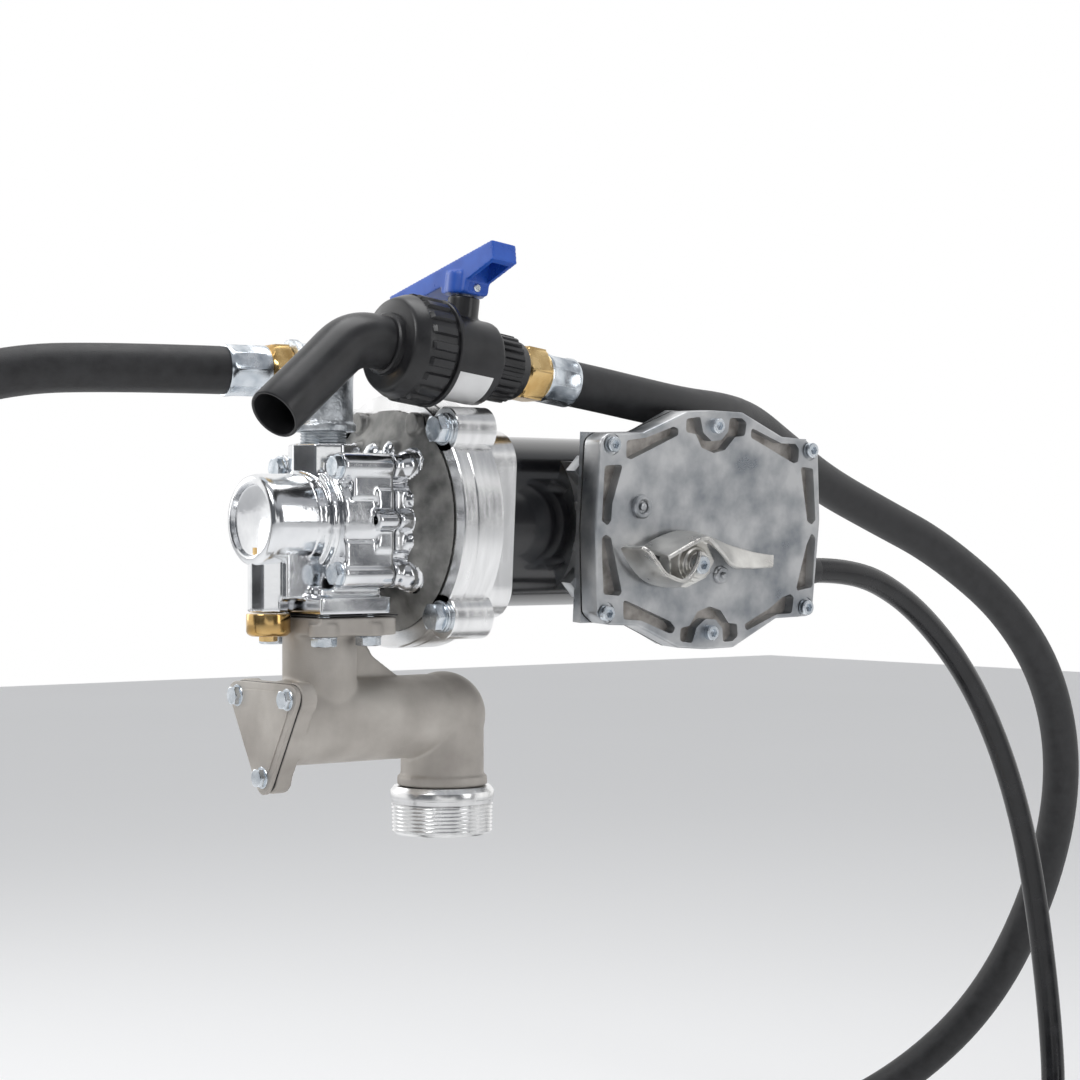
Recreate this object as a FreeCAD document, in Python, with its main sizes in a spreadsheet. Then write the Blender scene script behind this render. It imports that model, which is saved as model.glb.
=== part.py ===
"""Electric rotary vane transfer pump for a fuel tank, in millimetres.

Origin: centre of the lower end of the tank thread. +Z is up, +X runs along the motor axis from the pump
head to the motor, and the switch box faces -Y.
"""
import FreeCAD, Part
import math
import os
import Sketcher
from FreeCAD import Placement, Rotation, Vector

doc = FreeCAD.newDocument("transfer_pump")
sheet = doc.addObject("Spreadsheet::Sheet", "Sizes")

# Driving dimensions: alias, millimetres or degrees, what it is.
SIZES = [
    ("axis_height", 184.0, "pump and motor axis above the tank thread's end"),
    ("flange_turn", 1.5, "mounting flange turned about the motor axis, degrees"),
    ("switch_turn", 3.5, "switch box turned about the motor axis, degrees"),
    ("thread_radius", 30.15, "2 inch pipe thread"),
    ("thread_length", 21.0, "length of the tank thread"),
    ("collar_top", 28.0, "top of the adapter's collar"),
    ("suction_radius", 19.0, "suction bore"),
    ("inlet_height", 69.7, "axis of the horizontal inlet pipe"),
    ("inlet_pipe_radius", 24.25, "horizontal inlet pipe"),
    ("riser_x", -86.6, "axis of the rising inlet pipe"),
    ("riser_radius", 21.25, "rising inlet pipe"),
    ("inlet_flange_bottom", 118.7, "underside of the inlet flange"),
    ("inlet_flange_top", 130.3, "top of the inlet flange"),
    ("strainer_face", -121.5, "strainer opening's face"),
    ("strainer_screw_radius", 30.0, "circle of the three strainer screws"),
    ("head_front", -133.5, "front of the pump's cap"),
    ("head_joint", -60.0, "joint between pump head and adapter"),
    ("head_bolt_offset", 30.2, "through bolts from the axis, across and up"),
    ("outlet_x", -84.0, "axis of the outlet"),
    ("outlet_top", 228.0, "top of the outlet boss"),
    ("chamber_radius", 29.0, "pumping chamber"),
    ("chamber_offset", 3.0, "chamber off the rotor's axis"),
    ("rotor_radius", 25.5, "rotor"),
    ("shaft_radius", 6.35, "half inch shaft"),
    ("relief_x", -121.0, "axis of the relief valve"),
    ("relief_radius", 9.5, "relief valve bore"),
    ("flange_radius", 74.0, "round mounting flange"),
    ("flange_front", -38.0, "front face of the adapter's flange"),
    ("flange_joint", -28.0, "joint between adapter and motor flange"),
    ("flange_back", -11.0, "back of the motor flange"),
    ("ear_offset", 53.0, "flange bolts from the axis, across and up"),
    ("ear_radius", 13.0, "flange ears"),
    ("can_radius", 51.0, "outside of the motor can"),
    ("can_wall", 2.0, "thickness of the motor can"),
    ("can_front", 12.0, "front of the motor can"),
    ("can_back", 218.0, "back of the motor can"),
    ("box_left", 56.0, "left side of the switch box"),
    ("box_right", 234.0, "right side of the switch box"),
    ("box_corner", 56.0, "half height of the box at its corners"),
    ("box_peak", 70.5, "half height of the box at its middle"),
    ("box_back", -57.0, "back of the box's flange"),
    ("cover_joint", -64.0, "joint between housing and cover"),
    ("cover_depth", 15.0, "depth of the cover"),
    ("lever_x", 116.0, "lever axis along the motor"),
    ("lever_z", 164.5, "lever axis height before the box is turned"),
    ("gland_y", -47.8, "cable gland across, before the box is turned"),
    ("gland_z", 155.9, "cable gland height, before the box is turned"),
    ("outlet_leg_height", 268.0, "axis of the outlet elbow's level leg"),
    ("outlet_leg_turn", 170.0, "heading of the elbow's level leg, degrees"),
    ("hose_radius", 13.5, "three quarter inch fuel hose, outside"),
    ("cable_radius", 8.0, "two core power cable, outside"),
    ("nozzle_tilt", 7.48, "fall of the nozzle's axis towards the hose, degrees"),
    ("spout_radius", 15.0, "nozzle spout, outside"),
    ("spout_bore", 13.0, "nozzle spout, inside"),
    ("floor_height", -300.0, "surface that hose and cable lie on"),
]


class Size:
    """A sheet size, or a sum or product of sheet sizes: its number, and the expression that binds it."""

    def __init__(self, value, text):
        self.value = value
        self.text = text

    def joined(self, sign, other, value):
        text = other.text if isinstance(other, Size) else repr(float(other))
        return Size(value, "(%s %s %s)" % (self.text, sign, text))

    def __float__(self):
        return self.value

    def __add__(self, other):
        return self.joined("+", other, self.value + float(other))

    def __radd__(self, other):
        return self + other

    def __sub__(self, other):
        return self.joined("-", other, self.value - float(other))

    def __rsub__(self, other):
        return Size(float(other) - self.value, "(%r - %s)" % (float(other), self.text))

    def __neg__(self):
        return 0.0 - self

    def __mul__(self, other):
        return self.joined("*", other, self.value * float(other))

    def __rmul__(self, other):
        return self * other


class Sizes:
    """The sheet's aliases as attributes."""


S = Sizes()
for row, (alias, amount, meaning) in enumerate(SIZES, start=1):
    sheet.set("A%d" % row, meaning)
    sheet.set("B%d" % row, str(amount))
    sheet.setAlias("B%d" % row, alias)
    setattr(S, alias, Size(amount, "Sizes." + alias))
doc.recompute()

UPRIGHT = Rotation()
AXES = {
    "X": Rotation(Vector(0, 1, 0), 90),
    "Y": Rotation(Vector(1, 0, 0), -90),
    "Z": UPRIGHT,
    "-X": Rotation(Vector(0, 1, 0), -90),
    "-Y": Rotation(Vector(1, 0, 0), 90),
    "-Z": Rotation(Vector(1, 0, 0), 180),
}
FIT = 0.05  # radial clearance of a fitted piece
LOOSE = 0.3  # radial clearance of a bolt in its hole
A = S.axis_height
nodes = {}


# ---------------------------------------------------------------- building blocks

def made(kind, at=(0, 0, 0), turn=UPRIGHT, **amounts):
    """A Part primitive whose properties and place are numbers or sheet sizes."""
    piece = doc.addObject(kind, kind.split("::")[1])
    for name, amount in amounts.items():
        if isinstance(amount, Size):
            piece.setExpression(name, amount.text)
        else:
            setattr(piece, name, amount)
    piece.Placement = Placement(Vector(*[float(value) for value in at]), turn)
    for letter, value in zip("xyz", at):
        if isinstance(value, Size):
            piece.setExpression("Placement.Base." + letter, value.text)
    return piece


def cylinder(radius, length, at, axis="Z", arc=360):
    turn = AXES[axis] if isinstance(axis, str) else axis
    return made("Part::Cylinder", at, turn, Radius=radius, Height=length, Angle=arc)


def cone(start_radius, end_radius, length, at, axis="Z"):
    return made("Part::Cone", at, AXES[axis], Radius1=start_radius, Radius2=end_radius, Height=length)


def box(length, width, height, at, turn=UPRIGHT):
    return made("Part::Box", at, turn, Length=length, Width=width, Height=height)


def ball(radius, at):
    return made("Part::Sphere", at, Radius=radius)


def prism(sides, radius, length, at, axis="Z"):
    """A regular prism; radius reaches its corners."""
    return made("Part::Prism", at, AXES[axis], Polygon=sides, Circumradius=radius, Height=length)


def fused(*pieces):
    joined = doc.addObject("Part::MultiFuse", "Fusion")
    joined.Shapes = list(pieces)
    return joined


def cut(base, *tools):
    result = doc.addObject("Part::Cut", "Cut")
    result.Base = base
    result.Tool = tools[0] if len(tools) == 1 else fused(*tools)
    return result


def gathered(*pieces):
    group = doc.addObject("Part::Compound", "Set")
    group.Links = list(pieces)
    return group


def rounded(piece, radius, axis):
    """The piece with its straight edges along one axis rounded."""
    doc.recompute()
    along = AXES[axis].multVec(Vector(0, 0, 1))
    edges = []
    for number, edge in enumerate(piece.Shape.Edges, start=1):
        if isinstance(edge.Curve, Part.Line) and abs(edge.Curve.Direction.dot(along)) > 0.999:
            edges.append((number, radius, radius))
    soft = doc.addObject("Part::Fillet", "Rounded")
    soft.Base = piece
    soft.Edges = edges
    return soft


def outline(body, plane, points):
    """A closed sketch on one of the body's own planes, each point bound to the sheet."""
    sketch = body.newObject("Sketcher::SketchObject", "Outline")
    support = [item for item in body.Origin.OriginFeatures if item.Role == plane][0]
    sketch.AttachmentSupport = [(support, "")]
    sketch.MapMode = "FlatFace"
    count = len(points)
    for index, start in enumerate(points):
        end = points[(index + 1) % count]
        ends = [Vector(float(x), float(y), 0) for x, y in (start, end)]
        sketch.addGeometry(Part.LineSegment(*ends), False)
    for index in range(count):
        sketch.addConstraint(Sketcher.Constraint("Coincident", index, 2, (index + 1) % count, 1))
    for index, point in enumerate(points):
        for kind, value, axis in (("DistanceX", point[0], -2), ("DistanceY", point[1], -1)):
            if abs(float(value)) < 1e-9:
                sketch.addConstraint(Sketcher.Constraint("PointOnObject", index, 1, axis))
                continue
            number = sketch.addConstraint(Sketcher.Constraint(kind, -1, 1, index, 1, float(value)))
            if isinstance(value, Size):
                sketch.setExpression("Constraints[%d]" % number, value.text)
    return sketch


def turned(points, at=(0, 0, 0), turn=UPRIGHT):
    """A body turned about its own X axis from (along, radius) points."""
    body = doc.addObject("PartDesign::Body", "Turned")
    sketch = outline(body, "XZ_Plane", points)
    revolution = body.newObject("PartDesign::Revolution", "Revolution")
    revolution.Profile = sketch
    revolution.ReferenceAxis = (sketch, ["H_Axis"])
    revolution.Angle = 360
    body.Placement = Placement(Vector(*[float(value) for value in at]), turn)
    for letter, value in zip("xyz", at):
        if isinstance(value, Size):
            body.setExpression("Placement.Base." + letter, value.text)
    return body


def padded(points, depth, at):
    """A body padded towards -Y from (x, z) points."""
    body = doc.addObject("PartDesign::Body", "Padded")
    pad = body.newObject("PartDesign::Pad", "Pad")
    pad.Profile = outline(body, "XZ_Plane", points)
    if isinstance(depth, Size):
        pad.setExpression("Length", depth.text)
    else:
        pad.Length = depth
    body.Placement = Placement(Vector(*[float(value) for value in at]), UPRIGHT)
    for letter, value in zip("xyz", at):
        if isinstance(value, Size):
            body.setExpression("Placement.Base." + letter, value.text)
    return body


def named(label, piece, degrees=0.0, frame=None):
    """Registers a sub-part; it may be turned about the motor axis, or set in a frame of its own."""
    if degrees:
        frame = Placement(Vector(), Rotation(Vector(1, 0, 0), float(degrees)), Vector(0, 0, float(A)))
    if frame:
        if piece.TypeId not in ("Part::Cut", "Part::MultiFuse", "Part::Compound"):
            piece = gathered(piece)
        piece.Placement = frame
    piece.Label = label
    nodes[label] = piece
    return piece


def hex_bolt(shank, shank_length, corners, head, at, axis):
    """A bolt whose head sits on the plane at its place; the shank runs along the axis."""
    back = {"X": (-1, 0, 0), "Z": (0, 0, -1), "-X": (1, 0, 0), "-Y": (0, 1, 0), "-Z": (0, 0, 1)}[axis]
    top = [value + step * head if step else value for value, step in zip(at, back)]
    return fused(cylinder(shank, shank_length, at, axis), prism(6, corners, head, top, axis))


def square(offset):
    """The four corners of a square about the axis, as (across, up)."""
    return [(side * offset, rise * offset) for side in (-1, 1) for rise in (-1, 1)]


# ---------------------------------------------------------------- inlet and strainer

TO_UP = Rotation(Vector(0, 1, 0), -90)
spigot = S.suction_radius + 4


def tank_adapter():
    points = [
        (0, spigot + FIT), (0, S.thread_radius), (S.thread_length, S.thread_radius),
        (S.thread_length, S.thread_radius + 0.6), (S.collar_top - 2.5, S.thread_radius + 0.6),
        (S.collar_top, 28.5), (S.collar_top, spigot + FIT),
    ]
    return turned(points, turn=TO_UP)


def triangle_plate(thickness, x):
    plate = prism(3, S.strainer_screw_radius + 17, thickness, (x, 0, S.inlet_height), "X")
    return rounded(plate, 8.5, "X")


def strainer_spots():
    """Centres of the strainer's screws, as (across, height)."""
    reach = float(S.strainer_screw_radius)
    angles = [math.radians(degrees) for degrees in (30, 150, 270)]
    return [(reach * math.cos(a), S.inlet_height + reach * math.sin(a)) for a in angles]


def inlet_casting():
    level = S.inlet_height
    run = -S.strainer_face
    rise = S.inlet_flange_top - level
    flange = box(52, 68, 11.6, (-108, -34, S.inlet_flange_bottom))
    outside = fused(
        triangle_plate(11, S.strainer_face),
        cylinder(S.inlet_pipe_radius, run, (S.strainer_face, 0, level), "X"),
        ball(25.6, (0, 0, level)),
        cylinder(25.6, 20, (0, 0, level - 20)),
        cylinder(27, 28, (0, 0, S.collar_top)),
        cylinder(spigot, 24, (0, 0, S.collar_top - 22)),
        cylinder(S.riser_radius, rise, (S.riser_x, 0, level)),
        rounded(flange, 8, "Z"),
        gusset(),
    )
    holes = [cylinder(2.5, 10, (S.strainer_face, y, z), "X") for y, z in strainer_spots()]
    holes += [cylinder(4.2, 14, (x, y, S.inlet_flange_bottom - 1)) for x, y in inlet_bolt_spots()]
    return cut(
        outside,
        cylinder(19.5, run, (S.strainer_face, 0, level), "X"),
        cylinder(S.suction_radius, 26, (0, 0, S.collar_top - 22)),
        cylinder(18.5, level - 32, (0, 0, 32)),
        cylinder(15, rise, (S.riser_x, 0, level)),
        *holes,
    )


def gusset():
    rib = [(-68, 100), (-30, 90), (-30, 92), (-67, 118), (-68, 118)]
    return padded(rib, 6, (0, 3, 0))


def inlet_bolt_spots():
    return [(S.riser_x + dx, dy) for dx in (-15, 15) for dy in (-27, 27)]


def strainer_screen():
    """A cup of perforated sheet, open towards the tank."""
    return turned([(0, 0), (0, 18), (92, 18), (92, 17), (1, 17), (1, 0)], (-121, 0, S.inlet_height))


named("tank_adapter", tank_adapter())
named("inlet_casting", inlet_casting())
cover_holes = [cylinder(2.9, 8, (-128, y, z), "X") for y, z in strainer_spots()]
named("strainer_cover", cut(triangle_plate(3, -125), *cover_holes))
gasket_holes = [cylinder(2.9, 3, (-123, y, z), "X") for y, z in strainer_spots()]
window = cylinder(19.5, 3, (-123, 0, S.inlet_height), "X")
named("strainer_gasket", cut(triangle_plate(0.5, -122), window, *gasket_holes))
strainer_bolts = [hex_bolt(2.4, 13, 5.6, 4, (-126, y, z), "X") for y, z in strainer_spots()]
strainer_washers = [
    cut(cylinder(5.6, 1, (-126, y, z), "X"), cylinder(2.6, 2, (-126.5, y, z), "X")) for y, z in strainer_spots()
]
named("strainer_screws", gathered(*strainer_bolts, *strainer_washers))
named("strainer_screen", strainer_screen())
named("inlet_bolts", gathered(
    *[hex_bolt(3.9, 22, 7.2, 5.5, (x, y, S.inlet_flange_bottom), "Z") for x, y in inlet_bolt_spots()]))
port = cylinder(15, 3, (S.riser_x, 0, S.inlet_flange_top - 1))
bolt_gaps = [cylinder(4.2, 3, (x, y, S.inlet_flange_top - 1)) for x, y in inlet_bolt_spots()]
named("inlet_gasket", cut(box(52, 68, 0.6, (-108, -34, S.inlet_flange_top)), port, *bolt_gaps))


# ---------------------------------------------------------------- pump

def pump_head():
    foot_bottom = S.inlet_flange_top + 0.6
    bolts = square(S.head_bolt_offset)
    boss = cylinder(13.5, A - 132, (S.relief_x, 0, 132))
    outside = fused(
        cylinder(26, 30, (S.head_front, 0, A), "X"),
        cylinder(27.5, 12, (-105, 0, A), "X"),
        cylinder(37, 34, (-94, 0, A), "X"),
        prism(8, 20.6, S.outlet_top - A, (S.outlet_x, 0, A)),
        box(48, 68, 15, (-108, -34, foot_bottom)),
        box(59, 36, 24, (-121, -18, 140)),
        boss,
        cylinder(5.5, 14, (-74, -38, A), "X"),
        *[cylinder(7.6, 34, (-94, y, A + z), "X") for y, z in bolts],
    )
    return cut(
        outside,
        cylinder(S.chamber_radius, 32, (-92, -S.chamber_offset, A), "X"),
        cylinder(S.relief_radius, 37, (S.relief_x, 0, 132)),
        cylinder(9.5 + FIT, 37, (-128, 0, A), "X"),
        cylinder(14, 35, (S.outlet_x, 0, 130)),
        cylinder(11, 25, (S.outlet_x, 0, 204)),
        cylinder(13.4, 16, (S.outlet_x, 0, 216)),
        cylinder(3, 40, (S.relief_x, 0, 150), "X"),
        *[cylinder(3.3, 40, (-97, y, A + z), "X") for y, z in bolts],
        *[cylinder(4.0, 13, (x, y, foot_bottom - 1)) for x, y in inlet_bolt_spots()],
    )


def pump_adapter():
    bolts = square(S.head_bolt_offset)
    outside = fused(
        cylinder(37, 12, (S.head_joint, 0, A), "X"),
        cone(40, 62, 14, (-52, 0, A), "X"),
        cylinder(S.flange_radius - 8, 10, (S.flange_front, 0, A), "X"),
        cylinder(5.5, 20, (S.head_joint, -38, A), "X"),
        *[cylinder(7.6, 20, (S.head_joint, y, A + z), "X") for y, z in bolts],
    )
    return cut(
        outside,
        cylinder(S.shaft_radius + LOOSE, 20, (-62, 0, A), "X"),
        cylinder(12 + FIT, 20, (-46, 0, A), "X"),
        *[cylinder(3.3, 18, (-61, y, A + z), "X") for y, z in bolts],
    )


def eared_flange(front, thickness):
    """The round flange with its four ears, turned with the motor."""
    return fused(
        cylinder(S.flange_radius, thickness, (front, 0, A), "X"),
        *[cylinder(S.ear_radius, thickness, (front, y, A + z), "X") for y, z in square(S.ear_offset)],
    )


def ear_holes(front, length, radius):
    return [cylinder(radius, length, (front, y, A + z), "X") for y, z in square(S.ear_offset)]


def adapter_ring():
    centre = cylinder(30, 12, (S.flange_front - 1, 0, A), "X")
    return cut(eared_flange(S.flange_front, 10), centre, *ear_holes(-39, 12, 5.05))


def motor_flange():
    return cut(
        eared_flange(S.flange_joint, 17),
        cylinder(16 + FIT, 9, (-20, 0, A), "X"),
        cylinder(12.5, 30, (-35, 0, A), "X"),
        *ear_holes(-29, 16, 4.75),
    )


named("pump_head", pump_head())
adapter_cone = pump_adapter()
ring = adapter_ring()
ring.Placement = Placement(Vector(), Rotation(Vector(1, 0, 0), float(S.flange_turn)), Vector(0, 0, float(A)))
named("pump_adapter", fused(adapter_cone, ring))
named("motor_flange", motor_flange(), S.flange_turn)
named("head_bolts", gathered(
    *[hex_bolt(3.1, 48, 6.6, 4.5, (-94, y, A + z), "X") for y, z in square(S.head_bolt_offset)]))
named("flange_washers", gathered(
    *[cut(cylinder(9.3, 2, (-40, y, A + z), "X"), cylinder(5.05, 4, (-41, y, A + z), "X"))
      for y, z in square(S.ear_offset)]), S.flange_turn)
named("flange_bolts", gathered(
    *[hex_bolt(4.65, 26, 8.25, 6.4, (-40, y, A + z), "X") for y, z in square(S.ear_offset)]), S.flange_turn)
bush = [(-127, S.shaft_radius + FIT), (-127, 9.5), (-97, 9.5), (-97, S.shaft_radius + FIT)]
named("shaft_bush", turned(bush, (0, 0, A)))
seal = [(-46, S.shaft_radius + 0.1), (-46, 12), (-38, 12), (-38, S.shaft_radius + 0.1)]
named("shaft_seal", turned(seal, (0, 0, A)))


VANES = 5
ROTOR_FRONT = -91.8
ROTOR_LENGTH = 31.6


def spoke(number, inner, length, width, thickness, front):
    """A radial slab of the rotor, from an inner radius outwards."""
    angle = 360.0 / VANES * number
    turn = Rotation(Vector(1, 0, 0), angle)
    corner = turn.multVec(Vector(0, -thickness / 2, inner))
    at = (front, corner.y, A + corner.z)
    return box(width, thickness, length, at, turn)


def rotor():
    slots = [spoke(n, 12, 20, ROTOR_LENGTH + 2, 3.2, ROTOR_FRONT - 1) for n in range(VANES)]
    bore = cylinder(S.shaft_radius + 0.02, 40, (-95, 0, A), "X")
    return cut(cylinder(S.rotor_radius, ROTOR_LENGTH, (ROTOR_FRONT, 0, A), "X"), bore, *slots)


named("rotor", rotor())
named("vanes", gathered(
    *[spoke(n, 13, 12.2, ROTOR_LENGTH, 3.0, ROTOR_FRONT) for n in range(VANES)]))
named("shaft", turned([(-124, 0), (-124, S.shaft_radius), (225, S.shaft_radius), (225, 0)], (0, 0, A)))

# Relief valve: a spring holds the poppet up against its seat, and the brass cap closes the boss.
cap = [
    (0, 0), (0, 11.6), (1.2, 12.5), (13, 12.5), (13, S.relief_radius - FIT), (20, S.relief_radius - FIT),
    (20, 0),
]
cap_head = prism(6, 5.2, 3.5, (S.relief_x, 0, 116))
named("relief_cap", fused(turned(cap, (S.relief_x, 0, 119), TO_UP), cap_head))
named("relief_poppet", cylinder(S.relief_radius - LOOSE, 10, (S.relief_x, 0, 158.8)))


def relief_spring():
    """A coil spring of round wire between cap and poppet."""
    coil = Part.makeHelix(3.4, 17.4, 6.4)
    section = Part.Wire(Part.makeCircle(0.7, Vector(6.4, 0, 0), Vector(0, 1, 0)))
    spring = doc.addObject("Part::Feature", "Spring")
    spring.Shape = Part.Wire(coil).makePipeShell([section], True, True)
    spring.Placement = Placement(Vector(float(S.relief_x), 0, 140.2), UPRIGHT)
    return spring


named("relief_spring", relief_spring())


# ---------------------------------------------------------------- motor

def front_end_bell():
    shell = rounded(box(22.8, 109, 109, (S.flange_back, -54.5, A - 54.5)), 20, "X")
    return cut(
        shell,
        cylinder(S.can_radius - S.can_wall - 2, 20, (-5, 0, A), "X"),
        cylinder(S.can_radius + FIT, 4, (9, 0, A), "X"),
        cylinder(12.5, 30, (-15, 0, A), "X"),
        *[cylinder(2.6, 6, (-9, 0, A + z), "X") for z in (-43, 43)],
    )


inner = S.can_radius - S.can_wall
can = [(9, inner), (9, S.can_radius), (S.can_back, S.can_radius), (S.can_back, inner)]
bell = [
    (S.can_back, 16.1), (S.can_back, S.can_radius), (230, S.can_radius), (S.can_back + 14, 48),
    (S.can_back + 14, 0), (228, 0), (228, 16.1),
]
named("front_end_bell", front_end_bell(), S.switch_turn)
named("motor_can", turned(can, (0, 0, A)))
named("rear_end_bell", cut(turned(bell, (0, 0, A)),
                           *[cylinder(2.6, 20, (216, 0, A + z), "X") for z in (-43, 43)]), S.switch_turn)


def magnets():
    arcs = []
    for start in (115, -65):
        turn = Rotation(Vector(1, 0, 0), start - 90).multiply(AXES["X"])
        outer = cylinder(48.7, 110, (50, 0, A), turn, 130)
        arcs.append(cut(outer, cylinder(36, 114, (48, 0, A), "X")))
    return gathered(*arcs)


named("magnets", magnets())
named("motor_bearings", gathered(
    *[cut(cylinder(radius, length, (x, 0, A), "X"), cylinder(S.shaft_radius + FIT, 20, (x - 5, 0, A), "X"))
      for x, length, radius in ((-20, 8.8, 16), (S.can_back, 9.8, 16))]))
core = cut(cylinder(34, 90, (60, 0, A), "X"), cylinder(S.shaft_radius + 0.02, 94, (58, 0, A), "X"))
commutator = cut(cylinder(17, 22, (172, 0, A), "X"), cylinder(S.shaft_radius + 0.02, 30, (170, 0, A), "X"))
named("armature", gathered(core, commutator))
brush_pair = gathered(box(8, 14, 9, (178, 17.5, A - 4.5)), box(8, 14, 9, (178, -31.5, A - 4.5)))
named("brushes", brush_pair, S.switch_turn)


def brush_holder():
    ring = cut(cylinder(48.7, 4, (200, 0, A), "X"), cylinder(19, 6, (199, 0, A), "X"),
               *[cylinder(2.8, 10, (198, 0, A + z), "X") for z in (-43, 43)])
    arms = []
    for side in (-1, 1):
        sleeve = box(30, 14, 13, (174, 24.8 * side - 7, A - 6.5))
        arms.append(cut(sleeve, box(12, 30, 9.2, (176, 24 * side - 15, A - 4.6))))
    return fused(ring, *arms)


named("brush_holder", brush_holder(), S.switch_turn)
named("motor_bolts", gathered(
    *[hex_bolt(2.4, 239, 4.6, 3.4, (232, 0, A + z), "-X") for z in (-43, 43)]), S.switch_turn)


# ---------------------------------------------------------------- switch box

def box_outline(inset):
    """The box's outline, as (x, z), shrunk by an inset; its slopes rise to a flat top and bottom."""
    left = S.box_left + inset
    right = S.box_right - inset
    low = S.box_corner - inset
    high = S.box_peak - inset
    upper = [
        (left, A + low), (90.8, A + low), (121.5, A + high), (166.4, A + high), (201.7, A + low),
        (right, A + low),
    ]
    lower = [(x, A * 2 - z) for x, z in reversed(upper)]
    return upper + lower


SCREWS = [(63.7, 49), (225.8, 49), (60.5, -49), (221.4, -49), (145, 62), (141, -62)]


def cover_screw_holes(radius):
    return [cylinder(radius, 40, (x, -50, A + z), "-Y") for x, z in SCREWS]


def switch_housing():
    flange = padded(box_outline(0), 7, (0, S.box_back, 0))
    saddle = box(172, 27, 76, (60.6, S.box_back - 1, A - 38))
    wall = box(4, 28, 30, (232.6, S.box_back - 3, 141))
    return cut(
        fused(flange, saddle, wall),
        cylinder(S.can_radius + FIT, 190, (50, 0, A), "X"),
        box(148, 14, 66, (71, -70, A - 33)),
        *cover_screw_holes(2.1),
    )


def switch_cover():
    shell = padded(box_outline(0), S.cover_depth, (0, S.cover_joint - 0.5, 0))
    hollow = padded(box_outline(13), S.cover_depth - 4, (0, S.cover_joint - 0.4, 0))
    lever_hole = cylinder(5 + FIT, 30, (S.lever_x, -60, S.lever_z), "-Y")
    plug_hole = cylinder(4.6, 30, (85.6, -60, 196.8), "-Y")
    return cut(shell, hollow, lever_hole, plug_hole, *cover_screw_holes(2.7))


def cover_gasket():
    sheet_piece = padded(box_outline(0.5), 0.5, (0, S.cover_joint, 0))
    hole = padded(box_outline(13), 2, (0, S.cover_joint + 0.5, 0))
    return cut(sheet_piece, hole, *cover_screw_holes(2.7))


named("switch_housing", switch_housing(), S.switch_turn)
named("cover_gasket", cover_gasket(), S.switch_turn)
named("switch_cover", switch_cover(), S.switch_turn)
named("cover_screws", gathered(
    *[fused(cylinder(2.0, 20, (x, -61, A + z), "-Y"), cylinder(4.2, 4.2, (x, -79.6, A + z), "-Y"))
      for x, z in SCREWS]), S.switch_turn)
named("cover_plug", fused(cylinder(4.5, 10, (85.6, -72, 196.8), "-Y"),
                          cylinder(6.8, 3, (85.6, -79.6, 196.8), "-Y")), S.switch_turn)
named("lever_spindle", fused(cylinder(5, 28, (S.lever_x, -72, S.lever_z), "-Y"),
                             cylinder(8, 3, (S.lever_x, -71.5, S.lever_z), "-Y")), S.switch_turn)


def switch_lever():
    """A cast lever: a hub, a deep curved grip on its left and a thinner tail on its right."""
    grip = [(69, 169), (86, 176), (108, 180), (122, 174), (118, 156), (104, 150), (86, 153), (72, 162)]
    tail = [(116, 156), (116, 174), (150, 168), (191, 166), (192, 160), (150, 154)]
    solid = fused(
        cylinder(11, 13, (S.lever_x, -81, S.lever_z), "-Y"),
        padded(grip, 24, (0, -84, 0)),
        padded(tail, 10, (0, -84, 0)),
    )
    bore = cylinder(5 + FIT, 22, (S.lever_x, -79, S.lever_z), "-Y")
    return cut(solid, bore, cylinder(6, 20, (S.lever_x, -100.05, S.lever_z), "-Y"))


named("switch_lever", switch_lever(), S.switch_turn)
named("lever_screw", cylinder(5.6, 3.5, (S.lever_x, -100.1, S.lever_z), "-Y"), S.switch_turn)
named("switch", box(40, 8, 25, (S.lever_x - 20, -70.5, S.lever_z - 12)), S.switch_turn)
gland = [(0, 0), (0, 11.5), (10, 11.5), (10, 10), (25.4, 8.4), (25.4, 0)]
named("cable_gland", turned(gland, (S.box_right + 2.6, S.gland_y, S.gland_z)), S.switch_turn)


# ---------------------------------------------------------------- outlet elbow and its hose end

def ring_profile(start, end, outer, bore):
    return [(start, bore), (start, outer), (end, outer), (end, bore)]


LEG = Rotation(Vector(0, 0, 1), float(S.outlet_leg_turn))


def outlet_elbow():
    height = S.outlet_leg_height
    leg_turn = LEG.multiply(AXES["X"])
    corner = (S.outlet_x, 0, height)
    outside = fused(
        cylinder(13.3, 20, (S.outlet_x, 0, 216.2)),
        cylinder(17, height - 234, (S.outlet_x, 0, 234)),
        ball(17, corner),
        cylinder(16.4, 18.5, corner, leg_turn),
        turned(ring_profile(18, 22, 19, 9), corner, LEG),
    )
    return cut(outside, cylinder(10, height - 213, (S.outlet_x, 0, 213)), cylinder(10, 24, corner, leg_turn))


named("outlet_elbow", outlet_elbow())
OUTLET = Placement(Vector(float(S.outlet_x), 0, float(S.outlet_leg_height)), LEG)
swivel = cut(prism(6, 17.5, 14, (22, 0, 0), "X"), cylinder(9, 16, (21, 0, 0), "X"))
named("outlet_swivel", swivel, frame=OUTLET)
named("outlet_ferrule", turned(ring_profile(36, 61, 14.6, 9)), frame=OUTLET)


# ---------------------------------------------------------------- nozzle: its own frame, X along the pipe

NOZZLE = Placement(Vector(-62.5, -46, 281.5), Rotation(Vector(0, 1, 0), float(S.nozzle_tilt)))
BEND = Vector(-32.9, 0, 0)
SPOUT = Rotation(Vector(0, 0, 1), Vector(-0.70, -0.174, -0.693))
SPOUT_LENGTH = 76.5
STEM = 40.0


def spout_part(radius, longer):
    """The spout's straight part, corner and slanted part, outside or inside."""
    end = cylinder(radius, SPOUT_LENGTH + longer, tuple(BEND), SPOUT)
    return [end, ball(radius, tuple(BEND)), cylinder(radius, 32.9 + longer, tuple(BEND), "X")]


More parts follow.
